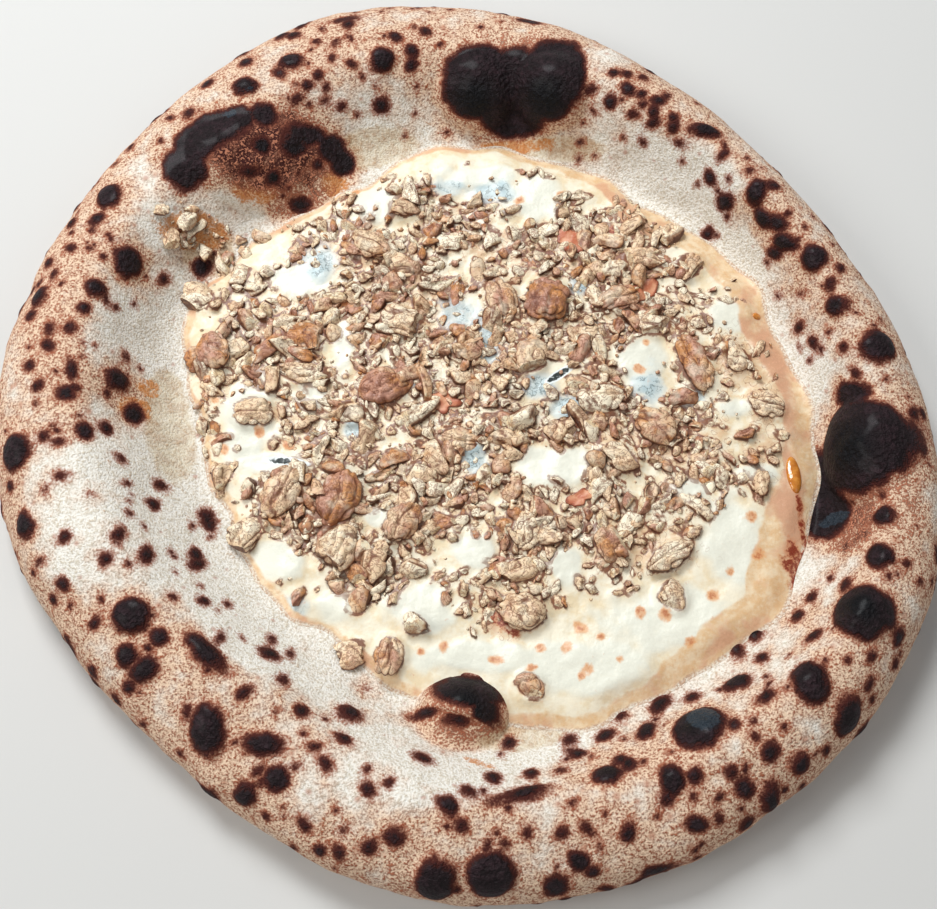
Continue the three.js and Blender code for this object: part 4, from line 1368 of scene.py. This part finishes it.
# %% [markdown]
# ## Crumbs on the rim
# A few larger crumbs lie on the rim at the upper left, where the hand that strewed them went too wide.

# %% Crumbs on the rim
CRUMB_TINTS = (0.3, 0.2, 0.45, 0.4, 0.95, 0.6, 0.5, 0.3)  # one for each, as for the kernels

crumb_points, crumb_faces, crumb_numbers = [], [], {"crease": [], "flesh": [], "edge": [], "tint": []}
for index, (x, y, radius) in enumerate(RIM_CRUMBS):
    points, faces, numbers = kernel(4, (1.25 * radius, radius, 0.7 * radius), 7000 + index, 1, False, 2.2)
    numbers["tint"] = np.full(len(points), CRUMB_TINTS[index])
    crumb_faces.append(faces + sum(map(len, crumb_points)))
    height = float(skin_height(np.array(x), np.array(y))) + 0.4 * radius
    crumb_points.append(lay(points, x, y, 50 * index, height))
    for label, values in crumb_numbers.items():
        values.append(numbers[label])
crumb_numbers = {label: np.concatenate(values) for label, values in crumb_numbers.items()}
crumb_mesh = mesh_of("rim_crumbs", np.concatenate(crumb_points), np.concatenate(crumb_faces), crumb_numbers)
make_piece("rim_crumbs", crumb_mesh, WALNUT, "walnut", "dough")
print("rim crumbs:", triangles(crumb_mesh), "triangles")

# %% [markdown]
# ## Shreds of ham
# Four small pink shreds show between the nuts, darker and redder where the oven caught their edges. Each is
# a thin closed disc that follows the lie of the cheese.

# %% Ham
def ham_finish():
    """Pink cooked meat with browned edges."""
    f = Finish("ham")
    patch = f.mottle(3.5, 3.0, 0.6)
    fleck = f.mottle(1.0, 2.0, 0.7)
    (edge,) = f.painted("edge")
    pink = f.blend(f.ramp(patch, -0.5, 0.4), (222, 160, 122), (196, 112, 78))
    colour = f.coats(pink, (edge + patch * 0.35 + fleck * 0.2, 0.45, 0.95, 0.85, (142, 68, 44)))
    return f.finish(colour, 0.45 + fleck * 0.08, f.bump(patch * 0.4 + fleck * 0.15, 0.5, 0.7))


# a shred from the middle of its underside over its edge to the middle of its top: share of its width, height
HAM_ROWS = ((0.1, 0), (0.5, 0), (0.85, 0), (1, 0.3), (0.95, 0.5), (0.8, 0.55), (0.55, 0.55), (0.25, 0.55))


def shred(x, y, long, wide, turn, seed):
    """Rows of points of one shred, and how near each is to its edge."""
    angle = all_round(72)
    plan = in_plan(np.cos(angle), np.sin(angle))
    outline = 0.86 + 0.3 * lumps(plan, 0.45, seed)
    rows, edges = [], []
    for share, rise in HAM_ROWS:
        flat = plan * outline[:, None] * share * (long / 2, wide / 2, 1)
        row = lay(flat, x, y, turn, 0.0)
        ripple = 0.3 * (1 + np.sin(0.9 * row[:, 0]) * np.cos(0.8 * row[:, 1]))
        row[:, 2] = cheese_top(row[:, 0], row[:, 1]) + 0.1 + ripple + rise
        rows.append(row)
        edges.append(np.full(len(angle), ease((share - 0.55) / 0.45)))
    return np.array(rows), np.array(edges)


HAM_FINISH = ham_finish()
for number, (x, y, long, wide, turn) in enumerate(HAM, 1):
    grid, edges = shred(x, y, long, wide, turn, 80 + number)
    ham_mesh = mesh_of(f"ham_shred_{number}", *closed_grid(grid, {"edge": edges}))
    make_piece(f"ham_shred_{number}", ham_mesh, HAM_FINISH, "ham", f"ham_{number}")
print("ham shreds:", len(HAM))

# %% [markdown]
# ## Beads of amber oil
# Hot fat gathers in deep orange beads against the rim. A bead is a low dome and very smooth. The fat in it
# is so deep in colour that an opaque orange under a thin coat stands for it.

# %% Oil
BEADS = [(114, -23.5, 2.5, 6.8, 4), (105.5, 37, 1.6, 1.3, 0)]
# a bead from the middle of its underside over its edge to its top: share of its width, share of its height
BEAD_ROWS = ((0.1, -0.8), (1, -0.5), (1, 0), (0.92, 0.35), (0.75, 0.65), (0.5, 0.85), (0.2, 1))
BEAD_HEIGHT = 0.9


def bead_rows(x, y, long, wide, turn):
    """Rows of points of a low dome that sits in the surface below it."""
    angle = all_round(40)
    plan = in_plan(np.cos(angle), np.sin(angle))
    rows = []
    for share, rise in BEAD_ROWS:
        row = lay(plan * share * (long, wide, 1), x, y, turn, 0.0)
        row[:, 2] = cheese_top(row[:, 0], row[:, 1]) + BEAD_HEIGHT * rise
        rows.append(row)
    return np.array(rows)


amber = Finish("amber_oil")
bead_colour = amber.blend(amber.ramp(amber.mottle(2.5), -0.5, 0.5), (220, 146, 62), (190, 110, 38))
bead_finish = amber.finish(bead_colour, 0.12, amber.bump(amber.mottle(2.0), 0.05), Coat_Weight=0.3)
for number, place in enumerate(BEADS, 1):
    bead_mesh = mesh_of(f"oil_bead_{number}", *closed_grid(bead_rows(*place), {}))
    make_piece(f"oil_bead_{number}", bead_mesh, bead_finish, "cheese", "cheese")
print("oil beads:", len(BEADS))
